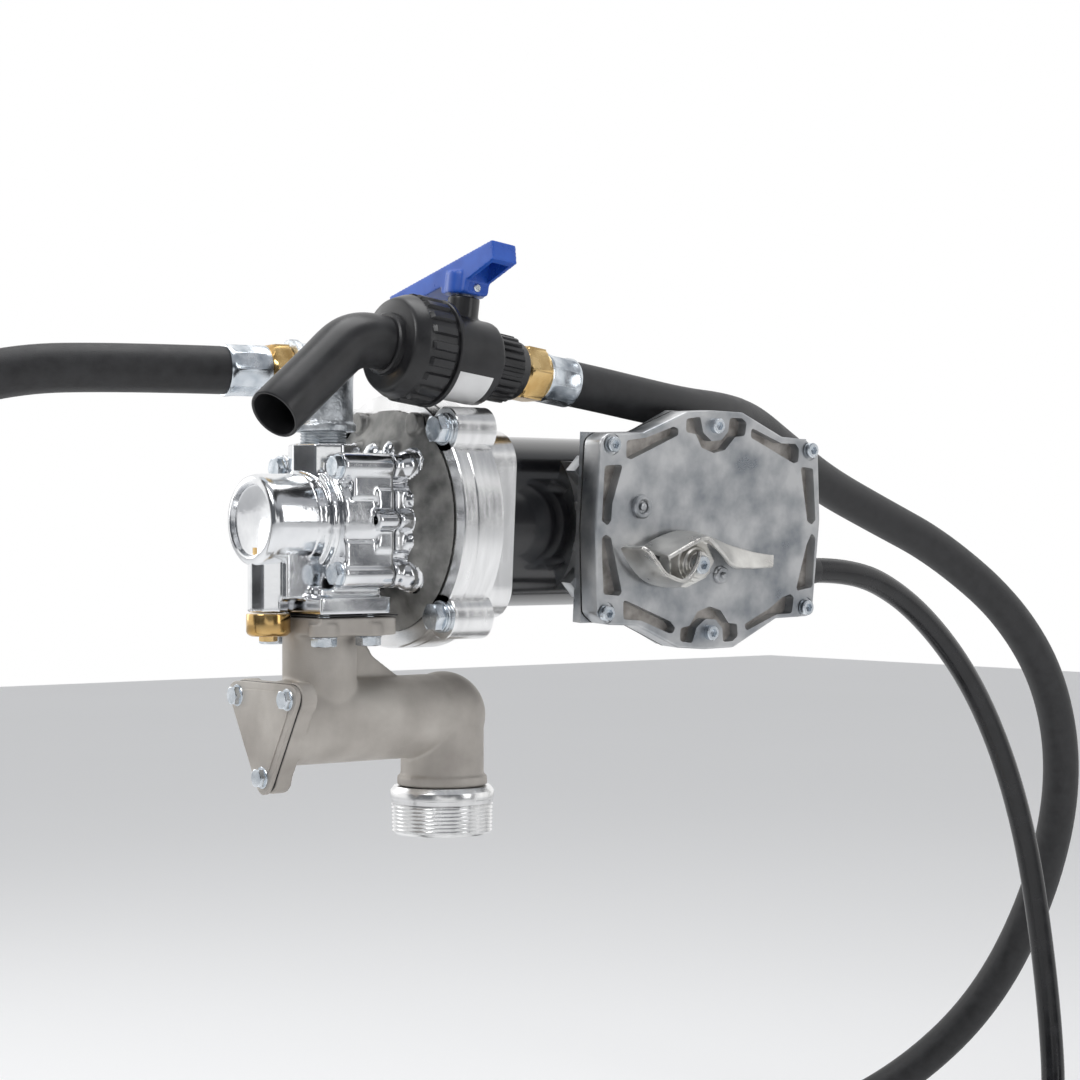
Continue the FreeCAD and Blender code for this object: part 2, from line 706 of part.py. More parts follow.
def nozzle_spout():
    collar = turned([(-6, 0), (-6, 19), (0, 19), (0, 0)])
    shoulder = cylinder(S.spout_radius + 0.5, 14, tuple(BEND), SPOUT)
    return cut(fused(collar, shoulder, *spout_part(S.spout_radius, 0)), *spout_part(S.spout_bore, 2))


def union_nut():
    points = [
        (-9, 16), (-9, 26), (-4, 31), (22.5, 31), (22.5, 24.8), (0.4, 24.8), (0.4, 19.3), (-6.3, 19.3),
        (-6.3, 16),
    ]
    return turned(points)


def valve_body():
    neck = cylinder(9, 16, (STEM, 0, 20))
    outside = fused(turned(ring_profile(0.5, 56, 24.5, 10)), neck)
    return cut(outside, ball(15.7, (STEM, 0, 0)), cylinder(5.6, 30, (STEM, 0, 10)))


named("nozzle_spout", nozzle_spout(), frame=NOZZLE)
named("union_nut", union_nut(), frame=NOZZLE)
named("valve_body", valve_body(), frame=NOZZLE)
named("valve_end_nut", turned(ring_profile(56, 81, 20, 9)), frame=NOZZLE)
named("valve_ball", cut(ball(15.4, (STEM, 0, 0)), cylinder(9.5, 40, (STEM, -20, 0), "Y"),
                        cylinder(5.6, 30, (STEM, 0, 12))), frame=NOZZLE)
named("valve_stem", cylinder(5.5, 28, (STEM, 0, 12.2)), frame=NOZZLE)


def valve_handle():
    """A hub on the stem and a bar across it, hollow underneath."""
    slope = Rotation(Vector(1, 0, 0), -15)
    hub = cylinder(11.5, 13, (STEM, 0, 36.4))
    bar = box(17, 99, 11.5, (STEM - 8.5, -35.5, 53.9), slope)
    hollow = box(12, 20, 8, (STEM - 6, -33.2, 52.8), slope)
    bore = cylinder(5.55, 6, (STEM, 0, 36))
    pin_hole = cylinder(1.6, 30, (STEM, 15, 38.6), "-Y")
    return cut(fused(hub, bar), hollow, bore, pin_hole)


named("valve_handle", valve_handle(), frame=NOZZLE)
named("handle_pin", cylinder(1.5, 5.4, (STEM, -6.2, 38.6), "-Y"), frame=NOZZLE)
nut = cut(prism(6, 17.5, 18, (81, 0, 0), "X"), cylinder(9, 20, (80, 0, 0), "X"))
named("nozzle_swivel", nut, frame=NOZZLE)
named("nozzle_ferrule", turned(ring_profile(99, 121.7, 14.6, 9)), frame=NOZZLE)


# ---------------------------------------------------------------- hose and power cable

def cord(label, route, radius):
    """A round tube: straight runs joined by arcs, each as large as its two runs allow."""
    points = [Vector(*point) for point in route]
    edges = []
    start = points[0]
    length = 0.0
    radii = []
    for before, corner, after in zip(points, points[1:], points[2:]):
        inward = (corner - before).normalize()
        outward = (after - corner).normalize()
        turn = inward.getAngle(outward)
        leg = 0.45 * min((corner - before).Length, (after - corner).Length)
        bend = leg / math.tan(turn / 2)
        radii.append(round(bend))
        first = corner - inward * leg
        last = corner + outward * leg
        towards = (outward - inward).normalize()
        middle = corner + towards * (bend / math.cos(turn / 2) - bend)
        edges.append(Part.LineSegment(start, first).toShape())
        edges.append(Part.Arc(first, middle, last).toShape())
        length += (first - start).Length + bend * turn
        start = last
    edges.append(Part.LineSegment(start, points[-1]).toShape())
    length += (points[-1] - start).Length
    path = Part.Wire(edges)
    section = Part.Wire(Part.makeCircle(float(radius), points[0], points[1] - points[0]))
    tube = doc.addObject("Part::Feature", "Cord")
    tube.Shape = path.makePipeShell([section], True, True)
    ratio = tube.Shape.Volume / (math.pi * float(radius) ** 2 * length)
    print("%s: length %.0f, radii %s, volume ratio %.4f" % (label, length, radii, ratio))
    return named(label, tube)


def along(frame, reach):
    """A point on a hose end's axis."""
    return tuple(frame.multVec(Vector(reach, 0, 0)))


HOSE = [
    along(OUTLET, 61), along(OUTLET, 123), (-266, 33, 265), (-326, 44, 245), (-376, 54, 204), (-408, 62, 142),
    (-418, 68, 62), (-418, 70, -28), (-412, 64, -116), (-390, 44, -194), (-344, 8, -252), (-282, -34, -280),
    (-220, -62, -286.5), (-160, -60, -286.5), (-107, -32, -286.5), (-72, 17, -286.5), (-61, 80, -286.5),
    (-26, 141, -286.5), (37, 182, -286.5), (116, 200, -286.5), (210, 203.5, -286.5), (308, 203, -286.5),
    (404, 200, -286.5), (496, 188, -280), (568, 158, -246), (614, 120, -188), (636, 86, -106), (636, 60, -18),
    (606, 46, 60), (550, 40, 120), (472, 39, 166), (404, 35, 190), (344, 28, 210.5), (292, 13, 231),
    (240, -7, 249), (196, -28, 252.5), (152, -41, 253.5), (114, -45, 258), along(NOZZLE, 145.7),
    along(NOZZLE, 121.7),
]
gland_mouth = Rotation(Vector(1, 0, 0), float(S.switch_turn)).multVec(
    Vector(262, float(S.gland_y), float(S.gland_z - A))) + Vector(0, 0, float(A))
CABLE = [
    tuple(gland_mouth), tuple(gland_mouth + Vector(36, 0, 0)), (344, -44.5, 136), (388, -42, 105),
    (424, -41, 66), (452, -42, 16), (470, -45, -40), (478, -50, -100), (480, -57, -160), (474, -66, -214),
    (452, -75, -258), (412, -81.5, -285), (376, -82.5, -292),
]
COIL = (360, 30)
TAIL = [
    (302, -74, -277), (280, -74, -277), (256, -74.5, -283), (230, -75, -292), (204, -75, -292),
]
cord("hose", HOSE, S.hose_radius)
cord("cable_lead", CABLE, S.cable_radius)
cord("cable_tail", TAIL, S.cable_radius)


def cable_coil():
    """Four turns below and three above, as one ring."""
    points = [(0, 56), (0, 120), (16, 120), (30, 112), (30, 64), (16, 56)]
    return turned(points, (COIL[0], COIL[1], S.floor_height), TO_UP)


named("cable_coil", cable_coil())


def cable_wires():
    """The two cores beyond the end of the jacket."""
    wires = []
    for side in (-1, 1):
        wires.append(cylinder(2.6, 52, (204, -75 + side * 4, -292), "-X"))
    return gathered(*wires)


def ring_terminal(side):
    y = -75 + side * 4
    barrel = cylinder(3.4, 14, (152, y, -292), "-X")
    tongue = box(14, 6, 1.6, (127, y - 3, -292.8))
    eye = cylinder(7, 1.6, (122, y + side * 5, -292.8))
    return cut(fused(barrel, tongue, eye), cylinder(4.2, 4, (122, y + side * 5, -294)),
               cylinder(2.65, 10, (153, y, -292), "-X"))


named("cable_wires", cable_wires())
named("ring_terminals", gathered(ring_terminal(-1), ring_terminal(1)))


# ---------------------------------------------------------------- check and write

doc.recompute()
faults = []
for item in doc.Objects:
    if "Invalid" in item.State or "Error" in item.State:
        faults.append("%s (%s): %s" % (item.Label, item.Name, item.State))
for label, piece in nodes.items():
    if piece.Shape.isNull() or not piece.Shape.isValid() or not piece.Shape.Solids:
        faults.append("%s: bad shape" % label)
if faults:
    raise SystemExit("\n".join(faults))
os.makedirs("parts", exist_ok=True)
for label, piece in nodes.items():
    piece.Shape.exportStep("parts/%s.step" % label)
print("%d nodes" % len(nodes))
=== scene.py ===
"""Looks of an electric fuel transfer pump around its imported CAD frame. Lengths below are millimetres."""

import math

import bmesh
import bpy
from mathutils import Matrix, Vector


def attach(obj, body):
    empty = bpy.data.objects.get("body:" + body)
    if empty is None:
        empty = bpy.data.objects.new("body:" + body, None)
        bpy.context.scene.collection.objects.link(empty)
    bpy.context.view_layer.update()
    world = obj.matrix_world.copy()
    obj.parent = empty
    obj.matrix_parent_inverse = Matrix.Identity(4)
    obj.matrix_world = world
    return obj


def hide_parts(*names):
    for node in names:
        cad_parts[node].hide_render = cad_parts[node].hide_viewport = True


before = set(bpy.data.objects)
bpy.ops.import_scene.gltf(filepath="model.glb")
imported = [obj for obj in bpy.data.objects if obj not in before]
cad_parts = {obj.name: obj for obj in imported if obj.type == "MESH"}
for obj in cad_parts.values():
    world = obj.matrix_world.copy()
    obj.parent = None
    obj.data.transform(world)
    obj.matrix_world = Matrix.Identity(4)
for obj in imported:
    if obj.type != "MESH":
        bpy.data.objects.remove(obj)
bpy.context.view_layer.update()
MM = 0.001
AXIS_HEIGHT = 184.0  # pump and motor axis
FLANGE_TURN = 1.5  # mounting flange, degrees about the motor axis
SWITCH_TURN = 3.5  # switch box, degrees about the motor axis
NOZZLE_TILT = 7.48  # fall of the nozzle's axis, degrees
FLOOR = -300.0
scene = bpy.context.scene


# ---------------------------------------------------------------- materials

def shader(name, colour, metallic, roughness, **sockets):
    """A Principled material and its node tree."""
    material = bpy.data.materials.new(name)
    material.use_nodes = True
    tree = material.node_tree
    principled = tree.nodes["Principled BSDF"]
    principled.inputs["Base Color"].default_value = (*colour, 1)
    principled.inputs["Metallic"].default_value = metallic
    principled.inputs["Roughness"].default_value = roughness
    for socket, value in sockets.items():
        principled.inputs[socket.replace("_", " ")].default_value = value
    return material, tree, principled


def noise(tree, scale, detail=4.0, stretch=(1, 1, 1)):
    """Noise in the object's own space; scale is in features per metre."""
    place = tree.nodes.new("ShaderNodeTexCoord")
    mapping = tree.nodes.new("ShaderNodeMapping")
    mapping.inputs["Scale"].default_value = stretch
    texture = tree.nodes.new("ShaderNodeTexNoise")
    texture.inputs["Scale"].default_value = scale
    texture.inputs["Detail"].default_value = detail
    tree.links.new(place.outputs["Object"], mapping.inputs["Vector"])
    tree.links.new(mapping.outputs["Vector"], texture.inputs["Vector"])
    return texture.outputs["Fac"]


def ramp(tree, source, stops):
    """A colour ramp from (position, colour) stops."""
    node = tree.nodes.new("ShaderNodeValToRGB")
    elements = node.color_ramp.elements
    while len(elements) < len(stops):
        elements.new(0.5)
    for element, (position, colour) in zip(elements, stops):
        element.position = position
        element.color = (*colour, 1)
    tree.links.new(source, node.inputs["Fac"])
    return node.outputs["Color"]


def spread(tree, source, low, high):
    """Noise spread over a range of numbers."""
    node = tree.nodes.new("ShaderNodeMapRange")
    node.inputs["From Min"].default_value = 0.3
    node.inputs["From Max"].default_value = 0.7
    node.inputs["To Min"].default_value = low
    node.inputs["To Max"].default_value = high
    tree.links.new(source, node.inputs["Value"])
    return node.outputs["Result"]


def bump(tree, principled, source, strength, distance):
    node = tree.nodes.new("ShaderNodeBump")
    node.inputs["Strength"].default_value = strength
    node.inputs["Distance"].default_value = distance
    tree.links.new(source, node.inputs["Height"])
    tree.links.new(node.outputs["Normal"], principled.inputs["Normal"])


def finish(name, dark, light, metallic, rough, patch=60, grain=900, grain_strength=0.2, depth=0.0002,
           stretch=(1, 1, 1), **sockets):
    """A surface that drifts between two colours and two roughnesses, with a fine grain."""
    material, tree, principled = shader(name, light, metallic, rough[0], **sockets)
    patches = noise(tree, patch, 6, stretch)
    tree.links.new(ramp(tree, patches, [(0.32, dark), (0.66, light)]), principled.inputs["Base Color"])
    tree.links.new(spread(tree, patches, *rough), principled.inputs["Roughness"])
    if grain_strength:
        bump(tree, principled, noise(tree, grain, 3, stretch), grain_strength, depth)
    return material


MATERIALS = {
    "cast_grey": finish("inlet_casting_grey", (0.40, 0.37, 0.34), (0.55, 0.52, 0.48), 0.55, (0.62, 0.5),
                        patch=30, grain=1500, grain_strength=0.45, depth=0.0003),
    "polished": finish("polished_aluminium", (0.70, 0.71, 0.73), (0.90, 0.91, 0.92), 1.0, (0.10, 0.20),
                       patch=45, grain=260, grain_strength=0.10, depth=0.0006),
    "rough_cast": finish("as_cast_grey", (0.16, 0.16, 0.155), (0.36, 0.355, 0.34), 0.8, (0.45, 0.6),
                         patch=90, grain=1100, grain_strength=0.5, depth=0.0003),
    "machined": finish("machined_aluminium", (0.78, 0.78, 0.78), (0.92, 0.92, 0.92), 1.0, (0.18, 0.28),
                       patch=40, grain=1200, grain_strength=0.12, depth=0.0001, stretch=(6, 1, 1)),
    "cover_cast": finish("tumbled_casting", (0.27, 0.29, 0.315), (0.60, 0.605, 0.61), 0.9, (0.26, 0.42),
                         patch=42, grain=1300, grain_strength=0.22, depth=0.0002),
    "pocket_cast": finish("pocket_casting", (0.24, 0.22, 0.20), (0.50, 0.47, 0.44), 0.85, (0.35, 0.5),
                          patch=120, grain=1500, grain_strength=0.5, depth=0.0003),
    "lever_cast": finish("lever_casting", (0.50, 0.49, 0.47), (0.74, 0.73, 0.70), 0.95, (0.24, 0.38),
                         patch=60, grain=1300, grain_strength=0.2, depth=0.0002),
    "zinc_steel": finish("zinc_plate", (0.50, 0.55, 0.60), (0.78, 0.82, 0.86), 1.0, (0.16, 0.30),
                         patch=150, grain=1800, grain_strength=0.15, depth=0.0001),
    "steel": finish("ground_steel", (0.35, 0.36, 0.38), (0.52, 0.53, 0.55), 1.0, (0.25, 0.35), patch=80),
    "galvanised": finish("galvanised_iron", (0.38, 0.41, 0.44), (0.74, 0.77, 0.80), 0.95, (0.28, 0.5),
                         patch=170, grain=520, grain_strength=0.75, depth=0.0006),
    "brass": finish("turned_brass", (0.55, 0.34, 0.12), (0.85, 0.62, 0.30), 1.0, (0.16, 0.30), patch=70,
                    grain=1200, grain_strength=0.12, depth=0.0001),
    "motor_black": finish("gloss_black_paint", (0.006, 0.006, 0.007), (0.012, 0.012, 0.014), 0.0, (0.12, 0.2),
                          patch=20, grain=300, grain_strength=0.04, depth=0.0003, Coat_Weight=0.4,
                          Coat_Roughness=0.08),
    "black_plastic": finish("black_polypropylene", (0.010, 0.010, 0.011), (0.022, 0.022, 0.024), 0.0,
                            (0.28, 0.42), patch=60, grain=1400, grain_strength=0.12, depth=0.0001),
    "blue_plastic": finish("blue_plastic", (0.015, 0.085, 0.46), (0.03, 0.13, 0.60), 0.0, (0.25, 0.36),
                           patch=60, grain=1200, grain_strength=0.08, depth=0.0001),
    "hose_rubber": finish("hose_rubber", (0.012, 0.012, 0.013), (0.028, 0.028, 0.030), 0.0, (0.45, 0.6),
                          patch=120, grain=1600, grain_strength=0.5, depth=0.0003),
    "cable_black": finish("cable_jacket", (0.006, 0.006, 0.007), (0.014, 0.014, 0.016), 0.0, (0.2, 0.3),
                          patch=80, grain=800, grain_strength=0.1, depth=0.0002),
    "wire_pvc": finish("red_insulation", (0.42, 0.02, 0.015), (0.60, 0.04, 0.03), 0.0, (0.3, 0.4)),
    "gasket": finish("gasket_rubber", (0.02, 0.02, 0.02), (0.05, 0.05, 0.05), 0.0, (0.7, 0.8)),
    "magnet": finish("ferrite", (0.03, 0.03, 0.035), (0.07, 0.07, 0.075), 0.2, (0.5, 0.6)),
    "seal_ptfe": finish("white_seal", (0.70, 0.70, 0.68), (0.85, 0.85, 0.83), 0.0, (0.35, 0.45)),
    "label": finish("blank_label", (0.78, 0.78, 0.78), (0.88, 0.88, 0.88), 0.0, (0.45, 0.5),
                    grain_strength=0),
}


# ---------------------------------------------------------------- mesh building

def shift(x=0.0, y=0.0, z=0.0):
    return Matrix.Translation((x, y, z))


def turn(axis, degrees):
    return Matrix.Rotation(math.radians(degrees), 4, axis)


def about_motor(degrees):
    """A turn about the motor axis."""
    return shift(z=AXIS_HEIGHT) @ turn("X", degrees) @ shift(z=-AXIS_HEIGHT)


PLAIN = Matrix.Identity(4)
FLANGE = about_motor(FLANGE_TURN)
SWITCH = about_motor(SWITCH_TURN)
NOZZLE = shift(-62.5, -46, 281.5) @ turn("Y", NOZZLE_TILT)
OUTLET = shift(-84, 0, 268) @ turn("Z", 170)
TO_UP = turn("Y", -90)  # sends +X up
TO_VIEWER = turn("Z", -90)  # sends +X to -Y


def spun(stations, segments=96, closed=False):
    """A mesh turned about X from (x, radius) stations; a radius may be a function of the angle."""
    mesh = bmesh.new()
    rings = []
    for x, radius in stations:
        if not callable(radius) and radius <= 1e-6:
            rings.append([mesh.verts.new((x, 0, 0))])
            continue
        ring = []
        for step in range(segments):
            angle = 2 * math.pi * step / segments
            reach = radius(angle) if callable(radius) else radius
            ring.append(mesh.verts.new((x, reach * math.cos(angle), reach * math.sin(angle))))
        rings.append(ring)
    pairs = list(zip(rings, rings[1:]))
    if closed:
        pairs.append((rings[-1], rings[0]))
    for first, second in pairs:
        for step in range(segments):
            after = (step + 1) % segments
            if len(first) == 1:
                mesh.faces.new((first[0], second[step], second[after]))
            elif len(second) == 1:
                mesh.faces.new((first[after], first[step], second[0]))
            else:
                mesh.faces.new((first[after], first[step], second[step], second[after]))
    for ring in (rings[0], rings[-1]):
        if not closed and len(ring) > 1:
            mesh.faces.new(ring)
    bmesh.ops.recalc_face_normals(mesh, faces=mesh.faces)
    return mesh


def soft_ring(start, end, outer, bore, edge=0.8):
    """Closed stations of a tube with eased edges."""
    return [(start, bore), (start, outer - edge), (start + 0.3 * edge, outer - 0.3 * edge),
            (start + edge, outer),
            (end - edge, outer), (end - 0.3 * edge, outer - 0.3 * edge), (end, outer - edge), (end, bore)]


def rounded_corners(points, radius, steps=5):
    """A closed outline with its corners replaced by arcs."""
    result = []
    count = len(points)
    for index, corner in enumerate(points):
        corner = Vector(corner)
        before = (Vector(points[index - 1]) - corner)
        after = (Vector(points[(index + 1) % count]) - corner)
        half = before.angle(after) / 2
        leg = min(radius / math.tan(half), before.length * 0.45, after.length * 0.45)
        first = corner + before.normalized() * leg
        last = corner + after.normalized() * leg
        for step in range(steps + 1):
            share = step / steps
            result.append(first * (1 - share) ** 2 + corner * (2 * share * (1 - share)) + last * share ** 2)
    return result


def slab(points, front, back):
    """An outline in (x, z) made solid between two depths in y."""
    mesh = bmesh.new()
    near = [mesh.verts.new((x, front, z)) for x, z in points]
    far = [mesh.verts.new((x, back, z)) for x, z in points]
    mesh.faces.new(near)
    mesh.faces.new(list(reversed(far)))
    for index in range(len(points)):
        after = (index + 1) % len(points)
        mesh.faces.new((near[after], near[index], far[index], far[after]))
    bmesh.ops.recalc_face_normals(mesh, faces=mesh.faces)
    return mesh


def block(low, high):
    """A box between two corners."""
    mesh = bmesh.new()
    bmesh.ops.create_cube(mesh, size=1)
    low, high = Vector(low), Vector(high)
    size = high - low
    for vertex in mesh.verts:
        vertex.co = Vector([(low[i] + high[i]) / 2 + vertex.co[i] * size[i] for i in range(3)])
    return mesh


def rod(radius, start, end, segments=48):
    """A cylinder between two points."""
    start, end = Vector(start), Vector(end)
    mesh = spun([(0, 0), (0, radius), ((end - start).length, radius), ((end - start).length, 0)], segments)
    heading = (end - start).to_track_quat("X", "Z").to_matrix().to_4x4()
    mesh.transform(Matrix.Translation(start) @ heading)
    return mesh


def sphere(radius, centre):
    mesh = bmesh.new()
    bmesh.ops.create_uvsphere(mesh, u_segments=48, v_segments=32, radius=radius)
    mesh.transform(Matrix.Translation(centre))
    return mesh


def joined(*meshes):
    """Several meshes as one."""
    total = bmesh.new()
    for mesh in meshes:
        holder = bpy.data.meshes.new("part")
        mesh.to_mesh(holder)
        total.from_mesh(holder)
        bpy.data.meshes.remove(holder)
        mesh.free()
    return total


def moved(mesh, matrix):
    mesh.transform(matrix)
    return mesh


def hexagon(corner, height, chamfer=True):
    """A hex head or nut along +X with its corners chamfered at the far face."""
    flat = corner * math.cos(math.pi / 6)

    def reach(angle):
        return flat / math.cos((angle % (math.pi / 3)) - math.pi / 6)

    crown = flat * 0.95 if chamfer else None
    stations = [(0, 0), (0, reach)]
    mesh = spun(stations + [(height, reach), (height, 0)], 72)
    if chamfer:
        for vertex in mesh.verts:
            radius = math.hypot(vertex.co.y, vertex.co.z)
            if vertex.co.x > height * 0.5 and radius > 0.1:
                vertex.co.x = height - (radius - crown) * 0.5
        ring = [vertex for vertex in mesh.verts if vertex.co.x > height * 0.5 and vertex.co.yz.length > 0.1]
        centre = [vertex for vertex in mesh.verts
                  if vertex.co.x > height * 0.99 and vertex.co.yz.length < 0.1]
        bmesh.ops.delete(mesh, geom=centre, context="VERTS")
        ring.sort(key=lambda vertex: math.atan2(vertex.co.z, vertex.co.y))
        inner = [mesh.verts.new((height, crown * vertex.co.y / vertex.co.yz.length,
                                 crown * vertex.co.z / vertex.co.yz.length)) for vertex in ring]
        for index in range(len(ring)):
            after = (index + 1) % len(ring)
            mesh.faces.new((ring[index], ring[after], inner[after], inner[index]))
        mesh.faces.new(inner)
        bmesh.ops.recalc_face_normals(mesh, faces=mesh.faces)
    return mesh


def socket_head(radius, height, socket):
    """A cylinder head along +X with a hex socket in its far face."""
    flat = socket * math.cos(math.pi / 6)

    def hollow(angle):
        return flat / math.cos((angle % (math.pi / 3)) - math.pi / 6)

    stations = [(0, 0), (0, radius), (height - 0.6, radius), (height, radius - 0.6), (height, hollow),
                (height - 2.4, hollow), (height - 2.8, 0)]
    return spun(stations, 72)


def sharpen(mesh, degrees):
    """Smooth shading that breaks at edges sharper than an angle."""
    holder = bmesh.new()
    holder.from_mesh(mesh)
    limit = math.radians(degrees)
    for face in holder.faces:
        face.smooth = len(face.verts) < 5 or face.calc_area() < 3e-5
    for edge in holder.edges:
        edge.smooth = len(edge.link_faces) == 2 and edge.calc_face_angle(0.0) < limit
    holder.to_mesh(mesh)
    holder.free()


def piece(name, mesh, slot, node=(), body="pump", place=PLAIN, angle=32, bevel=0.0):
    """Makes a mesh in millimetres into a shown piece in metres, and replaces the CAD nodes it stands for."""
    holder = bpy.data.meshes.new(name)
    if isinstance(mesh, bmesh.types.BMesh):
        mesh.to_mesh(holder)
        mesh.free()
    else:
        holder = mesh
        holder.name = name
    item = bpy.data.objects.new(name, holder)
    scene.collection.objects.link(item)
    holder.transform(Matrix.Scale(MM, 4) @ place)
    holder.materials.clear()
    holder.materials.append(MATERIALS[slot])
    if bevel:
        edges = item.modifiers.new("eased", "BEVEL")
        edges.width = bevel * MM
        edges.segments = 2
        edges.angle_limit = math.radians(40)
        edges.harden_normals = False
        applied(item)
    sharpen(item.data, angle)
    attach(item, body)
    names = [node] if isinstance(node, str) else list(node)
    if names:
        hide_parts(*names)
    return item


def applied(item):
    """Puts the modifiers' result into the mesh."""
    depsgraph = bpy.context.evaluated_depsgraph_get()
    result = bpy.data.meshes.new_from_object(item.evaluated_get(depsgraph))
    old = item.data
    item.modifiers.clear()
    item.data = result
    result.name = old.name
    bpy.data.meshes.remove(old)


def scratch(mesh):
    """A hidden working object, in millimetres."""
    holder = bpy.data.meshes.new("work")
    mesh.to_mesh(holder)
    mesh.free()
    item = bpy.data.objects.new("work", holder)
    scene.collection.objects.link(item)
    return item


def taken(item):
    """The mesh of a working object, which is then deleted."""
    mesh = item.data
    bpy.data.objects.remove(item)
    return mesh


def cast(solids, voxel=0.9, blend=4, cuts=None):
    """Closed solids run together as a casting, with soft inner corners, then cut."""
    item = scratch(joined(*solids))
    remesh = item.modifiers.new("skin", "REMESH")
    remesh.mode = "VOXEL"
    remesh.voxel_size = voxel
    smooth = item.modifiers.new("fillets", "SMOOTH")
    smooth.factor = 0.5
    smooth.iterations = blend
    applied(item)
    if cuts:
        cutter(item, joined(*cuts))
    return taken(item)


def cutter(item, mesh):
    """Cuts a mesh out of a working object."""
    tool = scratch(mesh)
    difference = item.modifiers.new("cut", "BOOLEAN")
    difference.object = tool
    difference.operation = "DIFFERENCE"
    difference.solver = "EXACT"
    difference.use_self = True
    applied(item)
    tool_mesh = tool.data
    bpy.data.objects.remove(tool)
    bpy.data.meshes.remove(tool_mesh)


def square(offset):
    return [(side * offset, rise * offset) for side in (-1, 1) for rise in (-1, 1)]


# ---------------------------------------------------------------- camera, light and floor

def surroundings():
    """A white room, with dark drapes on the side that the front of the object faces."""
    world = bpy.data.worlds.new("studio")
    world.use_nodes = True
    tree = world.node_tree
    background = tree.nodes["Background"]
    background.inputs["Strength"].default_value = 1.0
    place = tree.nodes.new("ShaderNodeTexCoord")

    def along(direction, low, high):
        dot = tree.nodes.new("ShaderNodeVectorMath")
        dot.operation = "DOT_PRODUCT"
        dot.inputs[1].default_value = direction
        tree.links.new(place.outputs["Generated"], dot.inputs[0])
        span = tree.nodes.new("ShaderNodeMapRange")
        span.interpolation_type = "SMOOTHSTEP"
        span.inputs["From Min"].default_value = low
        span.inputs["From Max"].default_value = high
        tree.links.new(dot.outputs["Value"], span.inputs["Value"])
        return span.outputs["Result"]

    def mixed(share, first, second):
        mix = tree.nodes.new("ShaderNodeMix")
        mix.data_type = "RGBA"
        tree.links.new(share, mix.inputs["Factor"])
        for socket, value in ((mix.inputs["A"], first), (mix.inputs["B"], second)):
            if isinstance(value, tuple):
                socket.default_value = value
            else:
                tree.links.new(value, socket)
        return mix.outputs["Result"]

    white = (1.0, 1.0, 1.0, 1)
    grey = (0.10, 0.105, 0.115, 1)
    soft = (0.42, 0.43, 0.45, 1)
    shade = white
    for direction, start, end in (((-0.95, -0.10, 0.29), 0.80, 0.86), ((-0.35, -0.80, 0.48), 0.90, 0.93),
                                  ((0.30, -0.93, 0.20), 0.88, 0.92), ((-0.75, -0.50, -0.43), 0.86, 0.90)):
        shade = mixed(along(direction, start, end), shade, grey)
    shade = mixed(along((0.0, -0.25, 0.97), 0.55, 0.75), shade, soft)
    tree.links.new(shade, background.inputs["Color"])
    scene.world = world
    scene.view_settings.view_transform = "Standard"


def studio():
    data = bpy.data.cameras.new("view")
    data.lens = 84.2
    data.sensor_width = 36
    data.dof.use_dof = False
    data.clip_start = 0.01
    camera = bpy.data.objects.new("view", data)
    camera.location = (-0.8847, -1.2052, 0.1765)
    azimuth = math.radians(38.5)
    fall = math.radians(0.14)
    heading = Vector((math.sin(azimuth) * math.cos(fall), math.cos(azimuth) * math.cos(fall),
                      -math.sin(fall)))
    camera.rotation_euler = heading.to_track_quat("-Z", "Y").to_euler()
    scene.collection.objects.link(camera)
    scene.camera = camera
    surroundings()
    right = Vector((math.cos(azimuth), -math.sin(azimuth), 0))
    ahead = Vector((math.sin(azimuth), math.cos(azimuth), 0))

    def lamp(name, side, depth, height, size, power, target=(0.03, 0.0, 0.17)):
        light = bpy.data.lights.new(name, "AREA")
        light.shape = "RECTANGLE"
        light.size, light.size_y = size
        light.energy = power
        item = bpy.data.objects.new(name, light)
        item.location = Vector(target) + right * side + ahead * depth + Vector((0, 0, height))
        item.rotation_euler = (Vector(target) - item.location).to_track_quat("-Z", "Y").to_euler()
        scene.collection.objects.link(item)

    lamp("key", -0.9, -1.0, 1.1, (0.7, 0.7), 9)
    lamp("side", 1.5, -0.9, 0.5, (0.4, 1.1), 4)
    lamp("top", 0.1, 0.2, 1.5, (1.2, 0.8), 10)
    lamp("rim", -1.3, 0.8, 0.5, (0.5, 1.0), 3)

    floor_mesh = bpy.data.meshes.new("floor")
    floor_mesh.from_pydata([(-6, -6, 0), (6, -6, 0), (6, 6, 0), (-6, 6, 0)], [], [(0, 1, 2, 3)])
    floor = bpy.data.objects.new("floor", floor_mesh)
    floor.location.z = FLOOR * MM - 0.0002
    material, tree, principled = shader("floor_white", (0.95, 0.95, 0.95), 0.0, 0.85)
    tree.links.new(ramp(tree, noise(tree, 0.6, 3), [(0.3, (0.94, 0.94, 0.94)), (0.7, (0.96, 0.96, 0.96))]),
                   principled.inputs["Base Color"])
    floor_mesh.materials.append(material)
    scene.collection.objects.link(floor)


# ---------------------------------------------------------------- hose and cable

def spline_through(name, points, radius, slot, node, **facts):
    """A smooth round cord whose control points are given in millimetres."""
    data = bpy.data.curves.new(name, "CURVE")
    data.dimensions = "3D"
    data.bevel_depth = radius * MM
    data.bevel_resolution = 8
    data.resolution_u = 10
    data.use_fill_caps = True
    line = data.splines.new("NURBS")
    line.points.add(len(points) - 1)
    for control, point in zip(line.points, points):
        control.co = (*(Vector(point) * MM), 1)
    line.order_u = 3
    line.use_endpoint_u = True
    data.materials.append(MATERIALS[slot])
    item = bpy.data.objects.new(name, data)
    scene.collection.objects.link(item)
    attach(item, "pump")
    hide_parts(*node)
    return item


